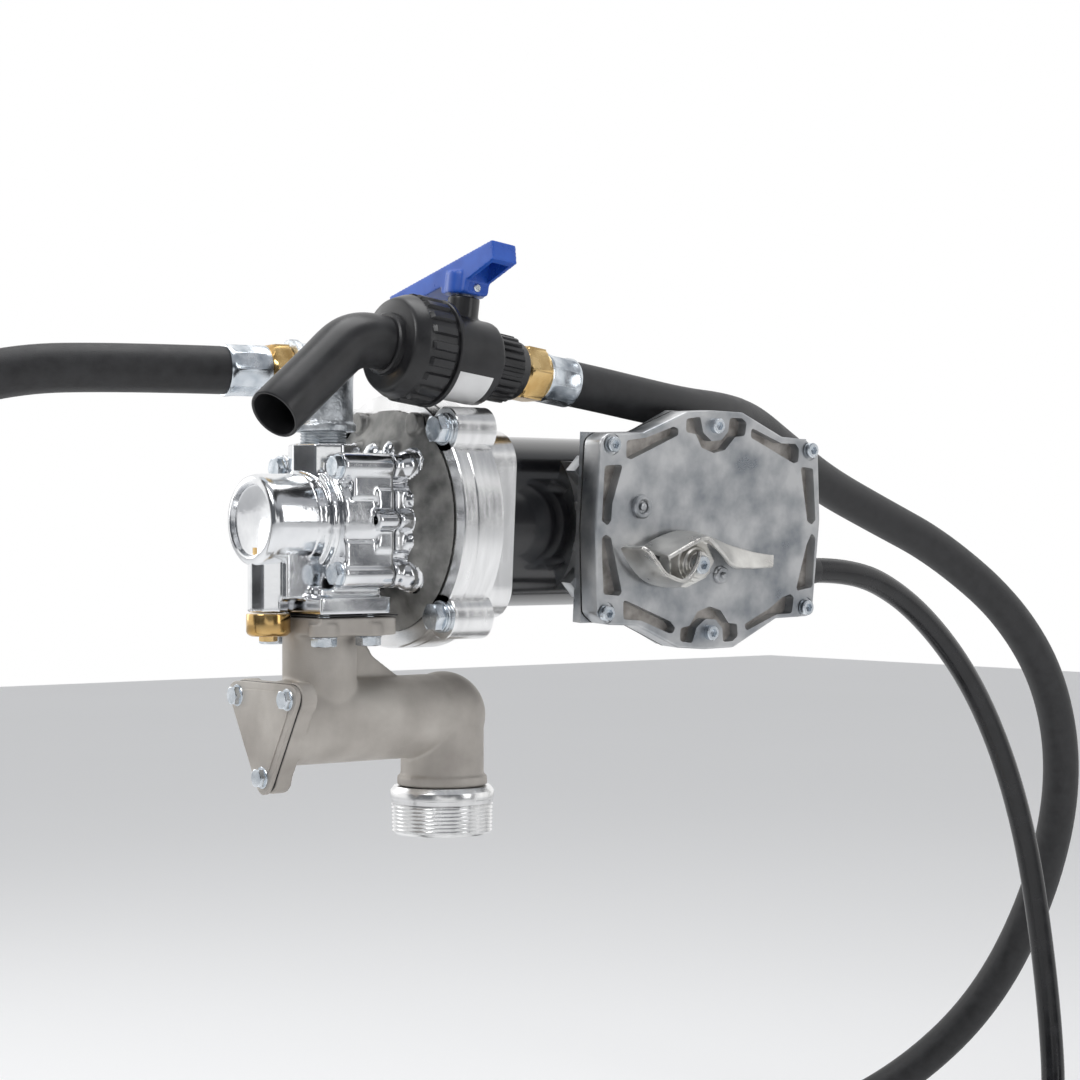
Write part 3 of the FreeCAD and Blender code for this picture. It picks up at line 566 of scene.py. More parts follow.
def coil_turns():
    """Four turns wound inwards on the floor, then three wound outwards on top of them."""
    centre = Vector((360, 30, 0))
    points = []
    total = 7.0
    steps = 16
    for step in range(int(total * steps) + 1):
        turns = step / steps
        if turns <= 4:
            radius = 112 - 12 * turns
            height = -292.0
        else:
            radius = 64 + 8 + 10.7 * (turns - 4)
            height = -278.0
        angle = math.radians(-90) - 2 * math.pi * turns
        wobble = 1.5 * math.sin(2.3 * angle)
        points.append((centre.x + (radius + wobble) * math.cos(angle),
                       centre.y + (radius + wobble) * math.sin(angle), height))
    return points


def cords():
    def outlet(reach):
        return tuple(OUTLET @ Vector((reach, 0, 0)))

    def nozzle(reach):
        return tuple(NOZZLE @ Vector((reach, 0, 0)))

    spline_through(
        "hose", [
            outlet(61), outlet(123), (-266, 33, 265), (-326, 44, 245), (-376, 54, 204), (-408, 62, 142),
            (-418, 68, 62), (-418, 70, -28), (-412, 64, -116), (-390, 44, -194), (-344, 8, -252),
            (-282, -34, -280), (-220, -62, -286.5), (-160, -60, -286.5), (-107, -32, -286.5),
            (-72, 17, -286.5),
            (-61, 80, -286.5), (-26, 141, -286.5), (37, 182, -286.5), (116, 200, -286.5),
            (210, 203.5, -286.5),
            (308, 203, -286.5), (404, 200, -286.5), (496, 188, -280), (568, 158, -246), (614, 120, -188),
            (636, 86, -106), (636, 60, -18), (606, 46, 60), (550, 40, 120), (472, 39, 166), (404, 35, 190),
            (344, 28, 210.5), (292, 13, 231), (240, -7, 249), (196, -28, 252.5), (152, -41, 253.5),
            (114, -45, 258), nozzle(145.7), nozzle(121.7)],
        13.5, "hose_rubber", ["hose"], length=3.05, far_end="object", stiffness="medium", lay="hanging")
    spline_through(
        "cable", [
            (262, -46, 153.03), (298, -46, 153.03), (344, -44.5, 136), (388, -42, 105), (424, -41, 66),
            (452, -42, 16), (470, -45, -40), (478, -50, -100), (480, -57, -160), (474, -66, -214),
            (452, -75, -258), (412, -81.5, -285), *coil_turns(),
            (302, -74, -277), (280, -74, -277), (256, -74.5, -283), (230, -75, -292), (204, -75, -292)],
        8, "cable_black", ["cable_lead", "cable_coil", "cable_tail"], length=4.6, far_end="connector",
        stiffness="medium", lay="coiled",
        with_pieces=[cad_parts["cable_wires"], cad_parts["ring_terminals"]])


# ---------------------------------------------------------------- carried-over CAD nodes

CARRIED = {
    "zinc_steel": ["strainer_screws", "inlet_bolts", "head_bolts", "flange_washers", "flange_bolts",
                   "motor_bolts",
                   "cover_screws", "handle_pin", "lever_screw", "outlet_ferrule", "nozzle_ferrule"],
    "steel": ["shaft", "relief_spring", "valve_stem", "lever_spindle", "strainer_screen", "armature",
              "motor_bearings"],
    "cast_grey": ["inlet_casting", "strainer_cover"],
    "polished": ["pump_head"],
    "rough_cast": ["pump_adapter"],
    "cover_cast": ["switch_cover", "switch_housing"],
    "machined": ["tank_adapter", "front_end_bell", "motor_flange", "rotor", "cover_plug"],
    "galvanised": ["outlet_elbow"],
    "brass": ["outlet_swivel", "nozzle_swivel", "relief_cap", "relief_poppet", "shaft_bush", "ring_terminals",
              "brushes"],
    "motor_black": ["motor_can", "rear_end_bell"],
    "black_plastic": ["nozzle_spout", "union_nut", "valve_body", "valve_end_nut",
                      "cable_gland", "brush_holder", "switch", "vanes"],
    "blue_plastic": ["valve_handle"],
    "lever_cast": ["switch_lever"],
    "gasket": ["strainer_gasket", "inlet_gasket", "cover_gasket", "shaft_seal"],
    "magnet": ["magnets"],
    "wire_pvc": ["cable_wires"],
    "seal_ptfe": ["valve_ball"],
}


def finish_carried():
    for slot, nodes in CARRIED.items():
        for name in nodes:
            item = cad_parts[name]
            if not item.data.materials:
                item.data.materials.append(MATERIALS[slot])
            for index in range(len(item.material_slots)):
                item.material_slots[index].link = "OBJECT"
                item.material_slots[index].material = MATERIALS[slot]
    listed = {name for nodes in CARRIED.values() for name in nodes}
    missing = set(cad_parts) - listed - {"hose", "cable_lead", "cable_coil", "cable_tail"}
    if missing:
        print("NO MATERIAL:", sorted(missing))


# ---------------------------------------------------------------- shared shapes

def along_curve(points, share):
    """A point on the smooth curve through a list of points, share from 0 to 1."""
    place = share * (len(points) - 1)
    index = min(int(place), len(points) - 2)
    part = place - index
    before = points[max(index - 1, 0)]
    first, last = points[index], points[index + 1]
    after = points[min(index + 2, len(points) - 1)]
    return tuple(0.5 * (2 * b + (c - a) * part + (2 * a - 5 * b + 4 * c - d) * part ** 2
                        + (3 * b - a - 3 * c + d) * part ** 3)
                 for a, b, c, d in zip(before, first, last, after))


def sheet_between(front, back, thickness, sag=0.0, steps=40, across=6):
    """A curved sheet between two edges, with a thickness."""
    mesh = bmesh.new()
    rows = []
    for step in range(steps + 1):
        near = Vector(along_curve(front, step / steps))
        far = Vector(along_curve(back, step / steps))
        row = []
        for cell in range(across + 1):
            share = cell / across
            point = near.lerp(far, share)
            point.z -= sag * math.sin(math.pi * share)
            row.append(mesh.verts.new(point))
        rows.append(row)
    for first, second in zip(rows, rows[1:]):
        for cell in range(across):
            mesh.faces.new((first[cell], first[cell + 1], second[cell + 1], second[cell]))
    bmesh.ops.recalc_face_normals(mesh, faces=mesh.faces)
    bmesh.ops.solidify(mesh, geom=mesh.faces[:], thickness=thickness)
    bmesh.ops.recalc_face_normals(mesh, faces=mesh.faces)
    return mesh


def ribbed(base, height, count, sharpness=2.6):
    """A radius with raised ribs round the circle."""
    def radius(angle):
        wave = 0.5 + sharpness * math.cos(count * angle)
        return base + height * min(max(wave, 0), 1)
    return radius


def bolt(corner, height, washer, shank, length):
    """A hex head on a washer face, head along +X, shank along -X."""
    head = moved(hexagon(corner, height - 0.9), shift(x=0.9))
    flange = spun([(0, 0), (0, washer), (0.6, washer), (0.9, washer - 0.3), (0.9, 0)], 48)
    return joined(head, flange, rod(shank, (0, 0, 0), (-length, 0, 0), 24))


def paint(item, slot, test, place=PLAIN):
    """Gives a second material to the faces that pass a test on their centre and normal, in millimetres."""
    item.data.materials.append(MATERIALS[slot])
    index = len(item.data.materials) - 1
    back = place.inverted()
    level = back.to_3x3()
    for face in item.data.polygons:
        if test(back @ (face.center / MM), level @ face.normal):
            face.material_index = index


# ---------------------------------------------------------------- tank adapter and inlet

def tank_adapter():
    stations = [(0, 23.65), (0, 27.6)]
    x = 0.6
    while x < 16.6:
        grow = 0.03 * x
        stations += [(x, 28.1 + grow), (x + 0.95, 29.55 + grow), (x + 1.2, 29.55 + grow),
                     (x + 2.1, 28.1 + grow)]
        x += 2.2
    stations += [(17.8, 28.4), (18.4, 30.1), (20.6, 30.2), (21.0, 30.6), (25.0, 30.75), (25.5, 30.5),
                 (28.0, 28.6), (28.0, 23.4), (27.6, 23.05), (0.6, 23.05)]
    piece("tank_adapter_body", spun(stations, 128, closed=True), "machined", "tank_adapter", place=TO_UP,
          angle=30)


def strainer_places(radius=30.0):
    return [(radius * math.cos(math.radians(a)), 69.7 + radius * math.sin(math.radians(a)))
            for a in (30, 150, 270)]


def triangle(reach, radius):
    corners = [(reach * math.cos(math.radians(a)), 69.7 + reach * math.sin(math.radians(a)))
               for a in (30, 150, 270)]
    return [tuple(point) for point in rounded_corners(corners, radius, 10)]


def inlet_body():
    """The level strainer chamber, the elbow over the thread, the riser to the pump and its web."""
    flange_spots = [(-86.6 + dx, dy) for dx in (-15, 15) for dy in (-27, 27)]
    solids = [
        rod(24.25, (-112, 0, 69.7), (0, 0, 69.7), 64),
        sphere(25.6, (0, 0, 69.7)),
        rod(24.6, (0, 0, 29), (0, 0, 69.7), 64),
        rod(26.6, (0, 0, 28.3), (0, 0, 34), 64),
        rod(21.25, (-86.6, 0, 74), (-86.6, 0, 122), 64),
        block((-107.4, -33.4, 119.3), (-56.6, 33.4, 129.7)),
        slab([(-68, 119), (-66, 92), (-30, 90), (-33, 93), (-52, 106), (-60, 119)], -3.4, 3.4),
        moved(slab(triangle(46.6, 9.5), -121.3, -110.8), turn("Z", -90)),
        *[rod(8.6, (x, y, 118.9), (x, y, 126), 32) for x, y in flange_spots],
        *[rod(9.4, (-121.2, y, z), (-111, y, z), 32) for y, z in strainer_places()],
    ]
    body = cast(solids, 1.0, 5, [rod(19.0, (0, 0, 20), (0, 0, 60), 64)])
    piece("inlet_body", body, "cast_grey", "inlet_casting", angle=50)
    ring = spun([(6.2, 19.2), (6.2, 22.6), (6.6, 23.0), (27.9, 23.0), (27.9, 19.2)], 96, closed=True)
    piece("inlet_spigot", ring, "machined", place=TO_UP, angle=30)
    plate = moved(slab(triangle(46.6, 9.2), -125.0, -122.0), turn("Z", -90))
    rim = moved(slab(triangle(38.5, 11), -125.5, -124.8), turn("Z", -90))
    piece("strainer_plate", joined(plate, rim), "cast_grey", "strainer_cover", bevel=0.5)
    screws = [moved(bolt(5.6, 4.4, 6.2, 2.2, 12), shift(-125.0, y, z) @ turn("Z", 180))
              for y, z in strainer_places()]
    piece("strainer_plate_screws", joined(*screws), "zinc_steel", "strainer_screws")
    bolts = [moved(bolt(7.2, 5.5, 7.6, 3.9, 20), shift(x, y, 118.7) @ turn("Y", 90)) for x, y in flange_spots]
    piece("inlet_flange_bolts", joined(*bolts), "zinc_steel", "inlet_bolts")


# ---------------------------------------------------------------- pump head and adapter

def relief():
    cap = spun([(119.0, 0), (119.0, 9.5), (119.4, 10.6), (120.4, 11.9), (121.6, 12.4), (131.0, 12.5),
                (131.6, 12.2),
                (131.6, 8.8)], 96)
    nut = moved(hexagon(5.2, 3.2), shift(x=119.2) @ turn("Z", 180))
    piece("relief_cap_body", moved(joined(cap, nut), turn("Y", -90)), "brass", "relief_cap",
          place=shift(x=-121))


def pump_head():
    """The die-cast head: body, stepped front, octagonal outlet boss, foot and relief block."""
    spots = square(30.2)
    lift = AXIS_HEIGHT
    outlet = [(-84 + 20.6 * math.cos(math.radians(a)), 20.6 * math.sin(math.radians(a)))
              for a in range(0, 360, 45)]
    tower = moved(slab(outlet, -227.6, -lift), turn("X", -90))
    relief_block = [(-121 + 12 * math.cos(math.radians(a)), 12 * math.sin(math.radians(a)))
                    for a in range(0, 360, 45)]
    block_tower = moved(slab(relief_block, -162, -132.4), turn("X", -90))
    solids = [
        rod(27.4, (-105, 0, lift), (-93, 0, lift), 64),
        rod(31, (-97.5, 0, lift), (-92, 0, lift), 64),
        rod(37, (-93.5, 0, lift), (-60.4, 0, lift), 96),
        tower, block_tower,
        rod(19, (-84, 0, 221), (-84, 0, 227.6), 64),
        block((-107.6, -33.6, 131.3), (-60.4, 33.6, 141.0)),
        block((-104, -26, 140), (-62, 26, 146)),
        block((-120, -18, 140), (-62, 18, 166)),
        rod(5.5, (-74, -38, lift), (-60.4, -38, lift), 32),
        block((-72, -37.6, lift - 17), (-60.4, -30, lift - 6)),
        block((-72, -37.6, lift + 6), (-60.4, -30, lift + 17)),
        *[rod(8.0, (-94, y, lift + z), (-60.4, y, lift + z), 40) for y, z in spots],
        block((-93, -36.6, lift - 27), (-60.4, -24, lift - 12)),
        block((-88, -36.6, lift + 12), (-60.4, -24, lift + 27)),
    ]
    cuts = [rod(2.4, (-75, -38, lift), (-66, -38, lift), 24), rod(13.4, (-84, 0, 216), (-84, 0, 236), 48)]
    piece("pump_head_body", cast(solids, 0.9, 4, cuts), "polished", "pump_head", angle=55)
    cap = [(-129.9, 0), (-129.9, 18.8), (-130.4, 19.8), (-132.9, 20.6), (-133.4, 21.4), (-133.0, 23.6),
           (-131.6, 25.2),
           (-129.4, 26.0), (-126, 26.3), (-104, 26.8), (-104, 0)]
    piece("pump_head_cap", spun(cap, 128), "polished", place=shift(z=lift), angle=35)
    bolts = [moved(bolt(6.6, 4.5, 7.2, 3.0, 44), shift(-94, y, lift + z) @ turn("Z", 180)) for y, z in spots]
    piece("pump_head_bolts", joined(*bolts), "zinc_steel", "head_bolts")


def pump_adapter():
    """The flared plate between head and motor, with its machined ring, ears and bolt bosses."""
    lift = AXIS_HEIGHT
    flare = spun([(-59.6, 0), (-59.6, 36.6), (-52, 38.5), (-44, 52), (-40.5, 62), (-38.4, 66),
                  (-38.4, 0)], 128)
    solids = [
        moved(flare, shift(z=lift)),
        rod(5.5, (-59.6, -38, lift), (-40, -38, lift), 32),
        *[rod(8.0, (-59.6, y, lift + z), (-46, y, lift + z), 40) for y, z in square(30.2)],
        *[sphere(9.0, (-48.5, 1.03 * y, lift + 1.03 * z)) for y, z in square(30.2)],
        block((-59.6, -37.4, lift - 17), (-47, -30, lift - 6)),
        block((-59.6, -37.4, lift + 6), (-47, -30, lift + 17)),
        sphere(6.0, (-47, -37, lift + 12)), sphere(6.0, (-47, -37, lift - 12)),
        sphere(7.0, (-46.5, -17, lift + 40)), sphere(7.0, (-46.5, 18, lift + 40)),
        sphere(8.0, (-47, 0, lift + 38)),
        *[rod(6.5, (-44, 63 * math.sin(math.radians(a)), lift + 63 * math.cos(math.radians(a))),
              (-38.4, 63 * math.sin(math.radians(a)), lift + 63 * math.cos(math.radians(a))), 32)
          for a in (-28, 24)],
    ]
    body = piece("pump_adapter_body", cast(solids, 1.0, 4), "rough_cast", "pump_adapter", angle=55)
    paint(body, "polished", lambda p, n: p.x < -50.5 or math.hypot(abs(p.y) - 32, abs(p.z - lift) - 32) < 9.5)
    ring = spun([(-38, 60), (-38, 73.2), (-37.4, 74), (-30.2, 74), (-29.6, 73.3), (-28.7, 73.3), (-28.1, 74),
                 (-28.05, 74), (-28.05, 60)], 160, closed=True)
    ears = []
    for y, z in square(53):
        ear = spun([(-38, 0), (-38, 12.4), (-37.4, 13), (-28.05, 13), (-28.05, 0)], 48)
        ears.append(moved(ear, shift(0, y, z)))
    rim = joined(ring, *ears)
    piece("pump_adapter_ring", moved(rim, shift(z=lift)), "machined", place=FLANGE, angle=30)
    washers = [moved(spun(soft_ring(-40, -38, 9.3, 5.0, 0.4), 48, closed=True), shift(0, y, lift + z))
               for y, z in square(53)]
    piece("flange_washer_set", joined(*washers), "zinc_steel", "flange_washers", place=FLANGE)
    bolts = [moved(bolt(8.25, 6.4, 8.6, 4.5, 24), shift(-40, y, lift + z) @ turn("Z", 180)) for y,
             z in square(53)]
    piece("flange_bolt_set", joined(*bolts), "zinc_steel", "flange_bolts", place=FLANGE)


# ---------------------------------------------------------------- switch box

OUTLINE = [(53, 236), (60, 240), (86, 241), (119, 254), (142, 255.5), (165, 255), (199, 241), (219, 240),
           (230, 233),
           (234.2, 190), (231, 130), (200, 129), (165, 112), (142, 111.5), (120, 113), (87, 127),
           (64, 128), (56, 134),
           (52.2, 183)]
POCKETS = [
    [(57, 221), (71, 222), (64, 199), (63.6, 189), (61, 186), (56.5, 189)],
    [(57, 179), (60, 181), (64, 179), (74, 147), (72, 145), (60, 146), (57.6, 169)],
    [(73, 236), (88, 238), (109, 245), (113, 244), (113, 240), (77, 225), (73, 226)],
    [(75, 143), (113, 129), (117, 125), (115, 122), (112, 122), (90, 130), (76, 131)],
    [(172, 246), (198, 237), (210, 237), (213, 234), (213, 226), (209, 225), (172, 240)],
    [(211, 144), (214, 142), (213, 132), (200, 131.5), (175, 122), (173, 126), (193, 135), (204, 142)],
    [(215, 223), (226, 222), (230, 190), (227, 187), (223, 189)],
    [(227, 182), (230.6, 179), (230, 148), (217, 146), (216, 148), (223, 174)],
    [(119, 250), (130, 251.5), (133, 242), (140, 237), (148, 238), (153, 243), (154, 251.5), (164, 251.5),
     (168, 249), (167, 241), (159, 240), (151, 232), (142, 230), (132, 233), (127, 241), (119, 242)],
    [(121, 117), (131, 115.6), (134, 125), (141, 130), (149, 129.5), (155, 124), (156, 115.6), (164, 116),
     (168, 119), (167, 126.5), (160, 127), (153, 135), (144, 137.5), (134, 134.5), (128, 126), (121, 125)],
]
COVER_SCREWS = [(62, 233.5), (222.7, 233.3), (62.5, 135), (224.4, 135.5), (142.5, 246.4), (144.5, 121.8)]


def switch_cover():
    outline = [tuple(point) for point in rounded_corners(OUTLINE, 6, 5)]
    item = scratch(slab(outline, -79.5, -64.5))
    edges = item.modifiers.new("edge", "BEVEL")
    edges.width = 1.3
    edges.segments = 3
    edges.angle_limit = math.radians(50)
    applied(item)
    pockets = [slab([tuple(point) for point in rounded_corners(shape, 2.2, 4)], -84, -72.6)
               for shape in POCKETS]
    wells = [rod(6.4, (x, -84, z), (x, -78.2, z), 40) for x, z in COVER_SCREWS[:4]]
    cutter(item, joined(*pockets, *wells))
    cover = piece("switch_cover_body", taken(item), "cover_cast", "switch_cover", place=SWITCH, angle=30,
                  bevel=0.35)
    paint(cover, "pocket_cast", lambda p, n: -78 < p.y < -70 and n.y < -0.9, SWITCH)
    heads = []
    for x, z in COVER_SCREWS:
        button = socket_head(4.6, 4.2, 2.7)
        heads.append(moved(button, shift(x, -79.4 if z > 240 or z < 130 else -78.6, z) @ TO_VIEWER))
        heads.append(rod(2.3, (x, -78.0, z), (x, -66, z), 24))
    piece("switch_cover_screws", joined(*heads), "zinc_steel", "cover_screws", place=SWITCH)
    plug = spun([(0, 0), (0, 7.2), (2.2, 7.0), (2.9, 6.2), (2.9, 4.6), (2.2, 3.9), (0.6, 3.6), (0.6, 2.4),
                 (2.6, 2.2),
                 (3.0, 1.4), (3.0, 0)], 56)
    piece("switch_cover_plug", moved(plug, shift(86, -79.6, 197.4) @ TO_VIEWER), "cover_cast", "cover_plug",
          place=SWITCH)
    boss = spun([(0, 0), (0, 5.6), (1.6, 5.2), (2.4, 4.4), (2.4, 1.9), (3.6, 1.9), (4.2, 1.2), (4.2, 0)], 40)
    piece("switch_cover_stop", moved(boss, shift(151.5, -79.7, 156.4) @ TO_VIEWER), "cover_cast",
          place=SWITCH)


def switch_box_trim():
    """Ejector marks and lugs on the sides of the box."""
    marks = []
    for z in (150, 172, 196, 218):
        marks.append(rod(2.6, (61.2, -50, z), (60.2, -50, z), 24))
    for z in (158, 210):
        marks.append(rod(2.2, (61.2, -38, z), (60.2, -38, z), 24))
    for z in (151, 217):
        marks.append(slab([(61, z - 9), (52.5, z), (61, z + 9)], -58, -49))
    piece("switch_housing_marks", joined(*marks), "cover_cast", place=SWITCH, bevel=0.4)
    line = slab([(x, z) for x, z in rounded_corners(OUTLINE, 6, 3)], -64.45, -64.05)
    piece("switch_box_seam", line, "gasket", "cover_gasket", place=SWITCH)


def switch_lever():
    """Two thin curved sheets cast onto a hub."""
    top_front = [(84, -108, 170), (97, -108.5, 176), (109, -108.5, 181), (118, -107, 180.6), (134, -101, 172),
                 (150, -94, 163), (170, -87.5, 161), (191, -84.6, 161)]
    top_back = [(84, -84, 174), (95, -84, 179.5), (110, -84, 183.6), (122, -84, 183.4), (138, -84, 180),
                (155, -83.6, 175), (174, -83.2, 171), (192.5, -83.0, 168.6)]
    bowl_front = [(67.4, -103, 174.4), (71, -107, 171), (81, -108, 160), (87, -108.4, 157),
                  (96, -108.4, 154.6),
                  (103, -108, 158), (109, -107, 166), (111, -106, 173)]
    bowl_back = [(66.8, -88, 174.4), (68, -84, 172), (77, -84, 161), (87, -84, 153.6), (102, -84, 149.8),
                 (116, -84, 150), (128.5, -84, 154), (140, -84, 158)]
    hub = joined(rod(10.4, (116, -81.2, 164.5), (116, -97, 164.5), 48),
                 rod(8.2, (116, -96, 164.5), (116, -100, 164.5)))
    web = slab([(100, 152), (112, 150), (128, 156), (134, 166), (124, 181), (106, 181), (98, 168)], -93, -84)
    solids = [sheet_between(top_front, top_back, 2.6), sheet_between(bowl_front, bowl_back, 2.6, sag=0.6),
              hub, web]
    cuts = [rod(6.0, (116, -112, 164.5), (116, -99.9, 164.5), 40)]
    piece("switch_lever_body", cast(solids, 0.6, 3, cuts), "lever_cast", "switch_lever", body="lever",
          place=SWITCH,
          angle=50)
    head = moved(socket_head(5.5, 3.4, 3.0), shift(116, -100.1, 164.5) @ TO_VIEWER)
    piece("switch_lever_screw", head, "zinc_steel", "lever_screw", body="lever", place=SWITCH)


# ---------------------------------------------------------------- outlet elbow and hose ends

def ferrule(start, end, radius, flutes=9):
    """A crimped sleeve: plain at both ends, fluted between."""
    def crimp(depth):
        return lambda angle: radius - depth * abs(math.sin(flutes * angle / 2)) ** 0.7
    span = end - start
    return spun([(start, 9.2), (start, radius - 0.9), (start + 0.4, radius - 0.2), (start + 1.4, radius),
                 (start + 0.12 * span, radius), (start + 0.2 * span, crimp(0.75)),
                 (start + 0.45 * span, crimp(0.85)),
                 (end - 0.2 * span, crimp(0.75)), (end - 0.12 * span, radius), (end - 0.8, radius + 0.1),
                 (end - 0.1, radius - 0.2), (end, 13.6), (end, 9.2)], 144, closed=True)


def hex_union(start, end, corner):
    """A brass hex with a step either side."""
    flat = corner * math.cos(math.pi / 6)

    def reach(angle):
        return flat / math.cos((angle % (math.pi / 3)) - math.pi / 6)

    def eased(angle):
        return min(reach(angle), flat * 1.08)

    return spun([(start, 9.2), (start, flat * 0.94), (start + 1.0, flat * 0.98), (start + 2.0, eased),
                 (start + 2.8, reach), (end - 2.8, reach), (end - 2.0, eased), (end - 1.0, flat * 0.98),
                 (end, flat * 0.9), (end, 9.2)], 144, closed=True)


def outlet():
    def point(reach):
        return tuple(OUTLET @ Vector((reach, 0, 0)))

    solids = [
        rod(17, (-84, 0, 234.6), (-84, 0, 268), 64),
        rod(18.6, (-84, 0, 234.6), (-84, 0, 239), 64),
        sphere(17.4, (-84, 0, 268)),
        rod(16.6, (-84, 0, 268), point(18), 64),
        rod(18.8, point(17), point(21.7), 64),
    ]
    piece("outlet_elbow_body", cast(solids, 0.9, 4), "galvanised", "outlet_elbow", angle=55)
    stations = [(216.4, 9.8)]
    x = 217.0
    while x < 234:
        stations += [(x, 12.5), (x + 0.7, 13.3), (x + 1.1, 13.3), (x + 1.6, 12.5)]
        x += 1.8
    stations += [(235.4, 12.6), (235.4, 9.8)]
    piece("outlet_nipple", spun(stations, 96, closed=True), "galvanised", place=shift(x=-84) @ TO_UP)
    piece("outlet_hex", hex_union(22, 36, 17.4), "brass", "outlet_swivel", place=OUTLET, angle=25)
    piece("outlet_ferrule_sleeve", ferrule(36, 61, 14.6), "zinc_steel", "outlet_ferrule", place=OUTLET,
          angle=40)


# ---------------------------------------------------------------- nozzle

def nozzle_spout():
    """A plain bent tube, open at its tip, with the collar that the union nut clamps."""
    bend = Vector((-32.9, 0, 0))
    slant = Vector((-0.70, -0.174, -0.693)).normalized()
    path = [((-2, 0, 0), 15.2), ((-9, 0, 0), 15.1), ((-17, 0, 0), 15.1)]
    start, last = bend + Vector((15, 0, 0)), bend + slant * 15
    for step in range(1, 12):
        share = step / 12
        path.append((tuple(start * (1 - share) ** 2 + bend * 2 * share * (1 - share) + last * share ** 2),
                     15.2 + 0.35 * math.sin(math.pi * share)))
    path += [(tuple(bend + slant * 17), 15.3), (tuple(bend + slant * 30), 15.0),
             (tuple(bend + slant * 60), 15.0),
             (tuple(bend + slant * 75.1), 15.0), (tuple(bend + slant * 76.1), 14.8),
             (tuple(bend + slant * 76.5), 14.3), (tuple(bend + slant * 76.501), 13.6),
             (tuple(bend + slant * 76.0), 13.05), (tuple(bend + slant * 75.5), 13.0),
             (tuple(bend + slant * 20), 13.0)]
    tube = swept_oneway(path, slant)
    collar = spun([(-13, 14.6), (-13, 16.6), (-12.2, 17.6), (-7.5, 17.9), (-6.5, 18.4), (-6, 18.9),
                   (0, 18.9), (0, 14.6)], 96,
                  closed=True)
    piece("nozzle_spout_tube", joined(tube, collar), "black_plastic", "nozzle_spout", place=NOZZLE, angle=35)


def swept_oneway(path, slant):
    """A sweep whose inner wall turns back along the same line, kept on one set of directions."""
    mesh = bmesh.new()
    rings = []
    side = Vector((0, 1, 0))
    segments = 72
    heading = Vector((-1, 0, 0))
    for index, (point, radius) in enumerate(path):
        if index and index < len(path) - 5:
            heading = (Vector(path[index + 1][0]) - Vector(path[index - 1][0])).normalized()
        elif index >= len(path) - 5:
            heading = slant.copy()
        side = (side - heading * side.dot(heading)).normalized()
        other = heading.cross(side)
        ring = []
        for step in range(segments):
            angle = 2 * math.pi * step / segments
            ring.append(mesh.verts.new(Vector(point) + radius * (side * math.cos(angle) + other * math.sin(angle))))
        rings.append(ring)
    for first, second in zip(rings, rings[1:]):
        for step in range(segments):
            after = (step + 1) % segments
            mesh.faces.new((first[step], first[after], second[after], second[step]))
    mesh.faces.new(rings[0])
    mesh.faces.new(rings[-1])
    bmesh.ops.recalc_face_normals(mesh, faces=mesh.faces)
    return mesh


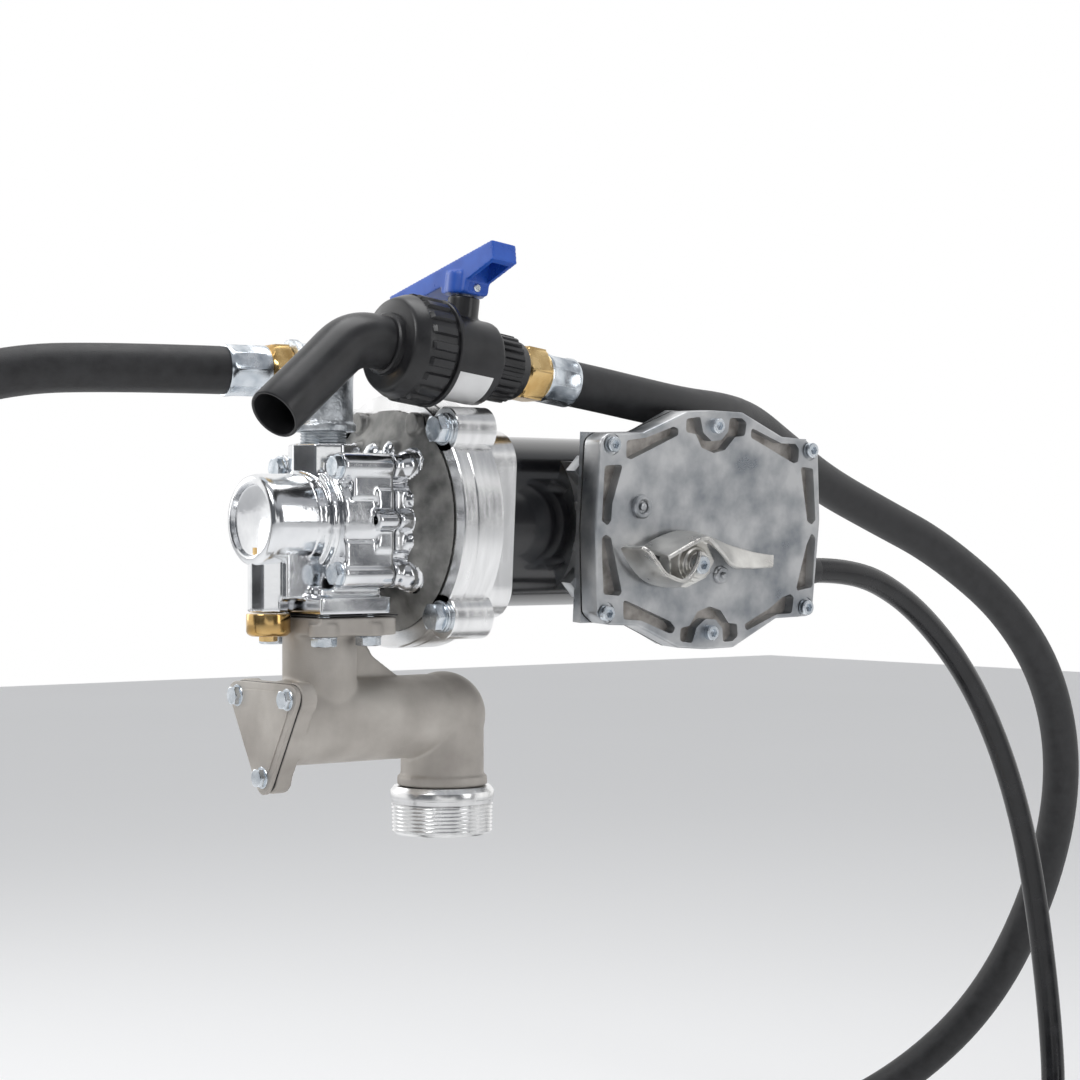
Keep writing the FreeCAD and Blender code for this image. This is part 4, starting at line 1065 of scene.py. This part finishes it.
def nozzle_body():
    nut = spun([(-9, 16), (-9, 24.8), (-8.2, 26.2), (-6.5, 27.2), (-1.0, 29.6), (-0.2, 29.7), (0.2, 28.8),
                (1.4, 28.8), (2.0, ribbed(28.9, 0.6, 20)), (3.0, ribbed(29.0, 1.9, 20)),
                (17.0, ribbed(29.0, 1.9, 20)),
                (18.2, ribbed(29.0, 0.6, 20)), (18.8, 28.8), (19.6, 28.8), (20.0, 30.4), (20.6, 30.9),
                (22.2, 30.9), (22.6, 30.3), (22.6, 24.9), (0.4, 24.9), (0.4, 19.3), (-6.2, 19.3), (-6.2, 16)],
               480, closed=True)
    piece("union_nut_body", nut, "black_plastic", "union_nut", place=NOZZLE, angle=32)
    solids = [
        moved(spun([(0.6, 0), (0.6, 24.3), (56, 24.3), (56, 0)], 96), PLAIN),
        rod(20, (50, 0, 0), (58, 0, 0), 64),
        rod(9.2, (40, 0, 18), (40, 0, 35.6), 48),
    ]
    piece("valve_body_shell", cast(solids, 0.8, 5), "black_plastic", "valve_body", place=NOZZLE, angle=50)
    end = spun([(56, 9.2), (56, 18.4), (56.4, 18.8), (57.6, 19), (58, ribbed(18.4, 0.4, 24)),
                (58.8, ribbed(18.3, 1.6, 24)),
                (74, ribbed(18.1, 1.6, 24)), (75, ribbed(18.0, 0.5, 24)), (75.4, 18.0), (76.4, 17.4),
                (79.6, 17.2),
                (80.6, 16.6), (81, 15.8), (81, 9.2)], 480, closed=True)
    piece("valve_end_nut_body", end, "black_plastic", "valve_end_nut", place=NOZZLE, angle=32)
    piece("nozzle_hex", hex_union(81, 99, 17.4), "brass", "nozzle_swivel", place=NOZZLE, angle=25)
    piece("nozzle_ferrule_sleeve", ferrule(99, 121.7, 14.6), "zinc_steel", "nozzle_ferrule", place=NOZZLE,
          angle=40)
    patch = bmesh.new()
    rows = []
    for column in range(13):
        x = 25.5 + 25.0 * column / 12
        rows.append([patch.verts.new((x, 24.6 * math.cos(math.radians(a)), 24.6 * math.sin(math.radians(a))))
                     for a in range(205, 277, 4)])
    for first, second in zip(rows, rows[1:]):
        for cell in range(len(first) - 1):
            patch.faces.new((first[cell], first[cell + 1], second[cell + 1], second[cell]))
    bmesh.ops.recalc_face_normals(patch, faces=patch.faces)
    bmesh.ops.solidify(patch, geom=patch.faces[:], thickness=0.15)
    piece("valve_body_label", patch, "label", place=NOZZLE, angle=40)


def valve_handle():
    """A flat bar on a hub, with a wedge-shaped gusset and an open underside near its thick end."""
    profile = [(-32.5, 65), (63, 39.4), (60, 28.4), (12, 41.2), (11, 37.2), (-11, 37.2), (-12, 44),
               (-35.4, 54)]
    bar = slab(profile, 8.5, -8.5)
    bar = moved(bar, turn("Z", 90))
    hub = rod(11.4, (0, 0, 36.6), (0, 0, 49), 48)
    hollow = [block((-6, -31.5, 38), (6, -12.6, 58.2)), rod(5.7, (0, 0, 30), (0, 0, 42.2), 40)]
    body = cast([bar, hub], 0.7, 3, hollow)
    piece("valve_handle_bar", body, "blue_plastic", "valve_handle", body="valve",
          place=NOZZLE @ shift(x=40), angle=45)
    pin = spun([(0, 0), (0, 1.5), (5, 1.5), (5.4, 2.4), (6.4, 2.4), (7.0, 1.7), (7.0, 0)], 32)
    piece("valve_handle_pin", moved(pin, shift(0, -5.6, 40.6) @ TO_VIEWER), "zinc_steel", "handle_pin",
          body="valve",
          place=NOZZLE @ shift(x=40))


finish_carried()
studio()
cords()
tank_adapter()
inlet_body()
relief()
pump_head()
pump_adapter()
switch_cover()
switch_box_trim()
switch_lever()
outlet()
nozzle_spout()
nozzle_body()
valve_handle()
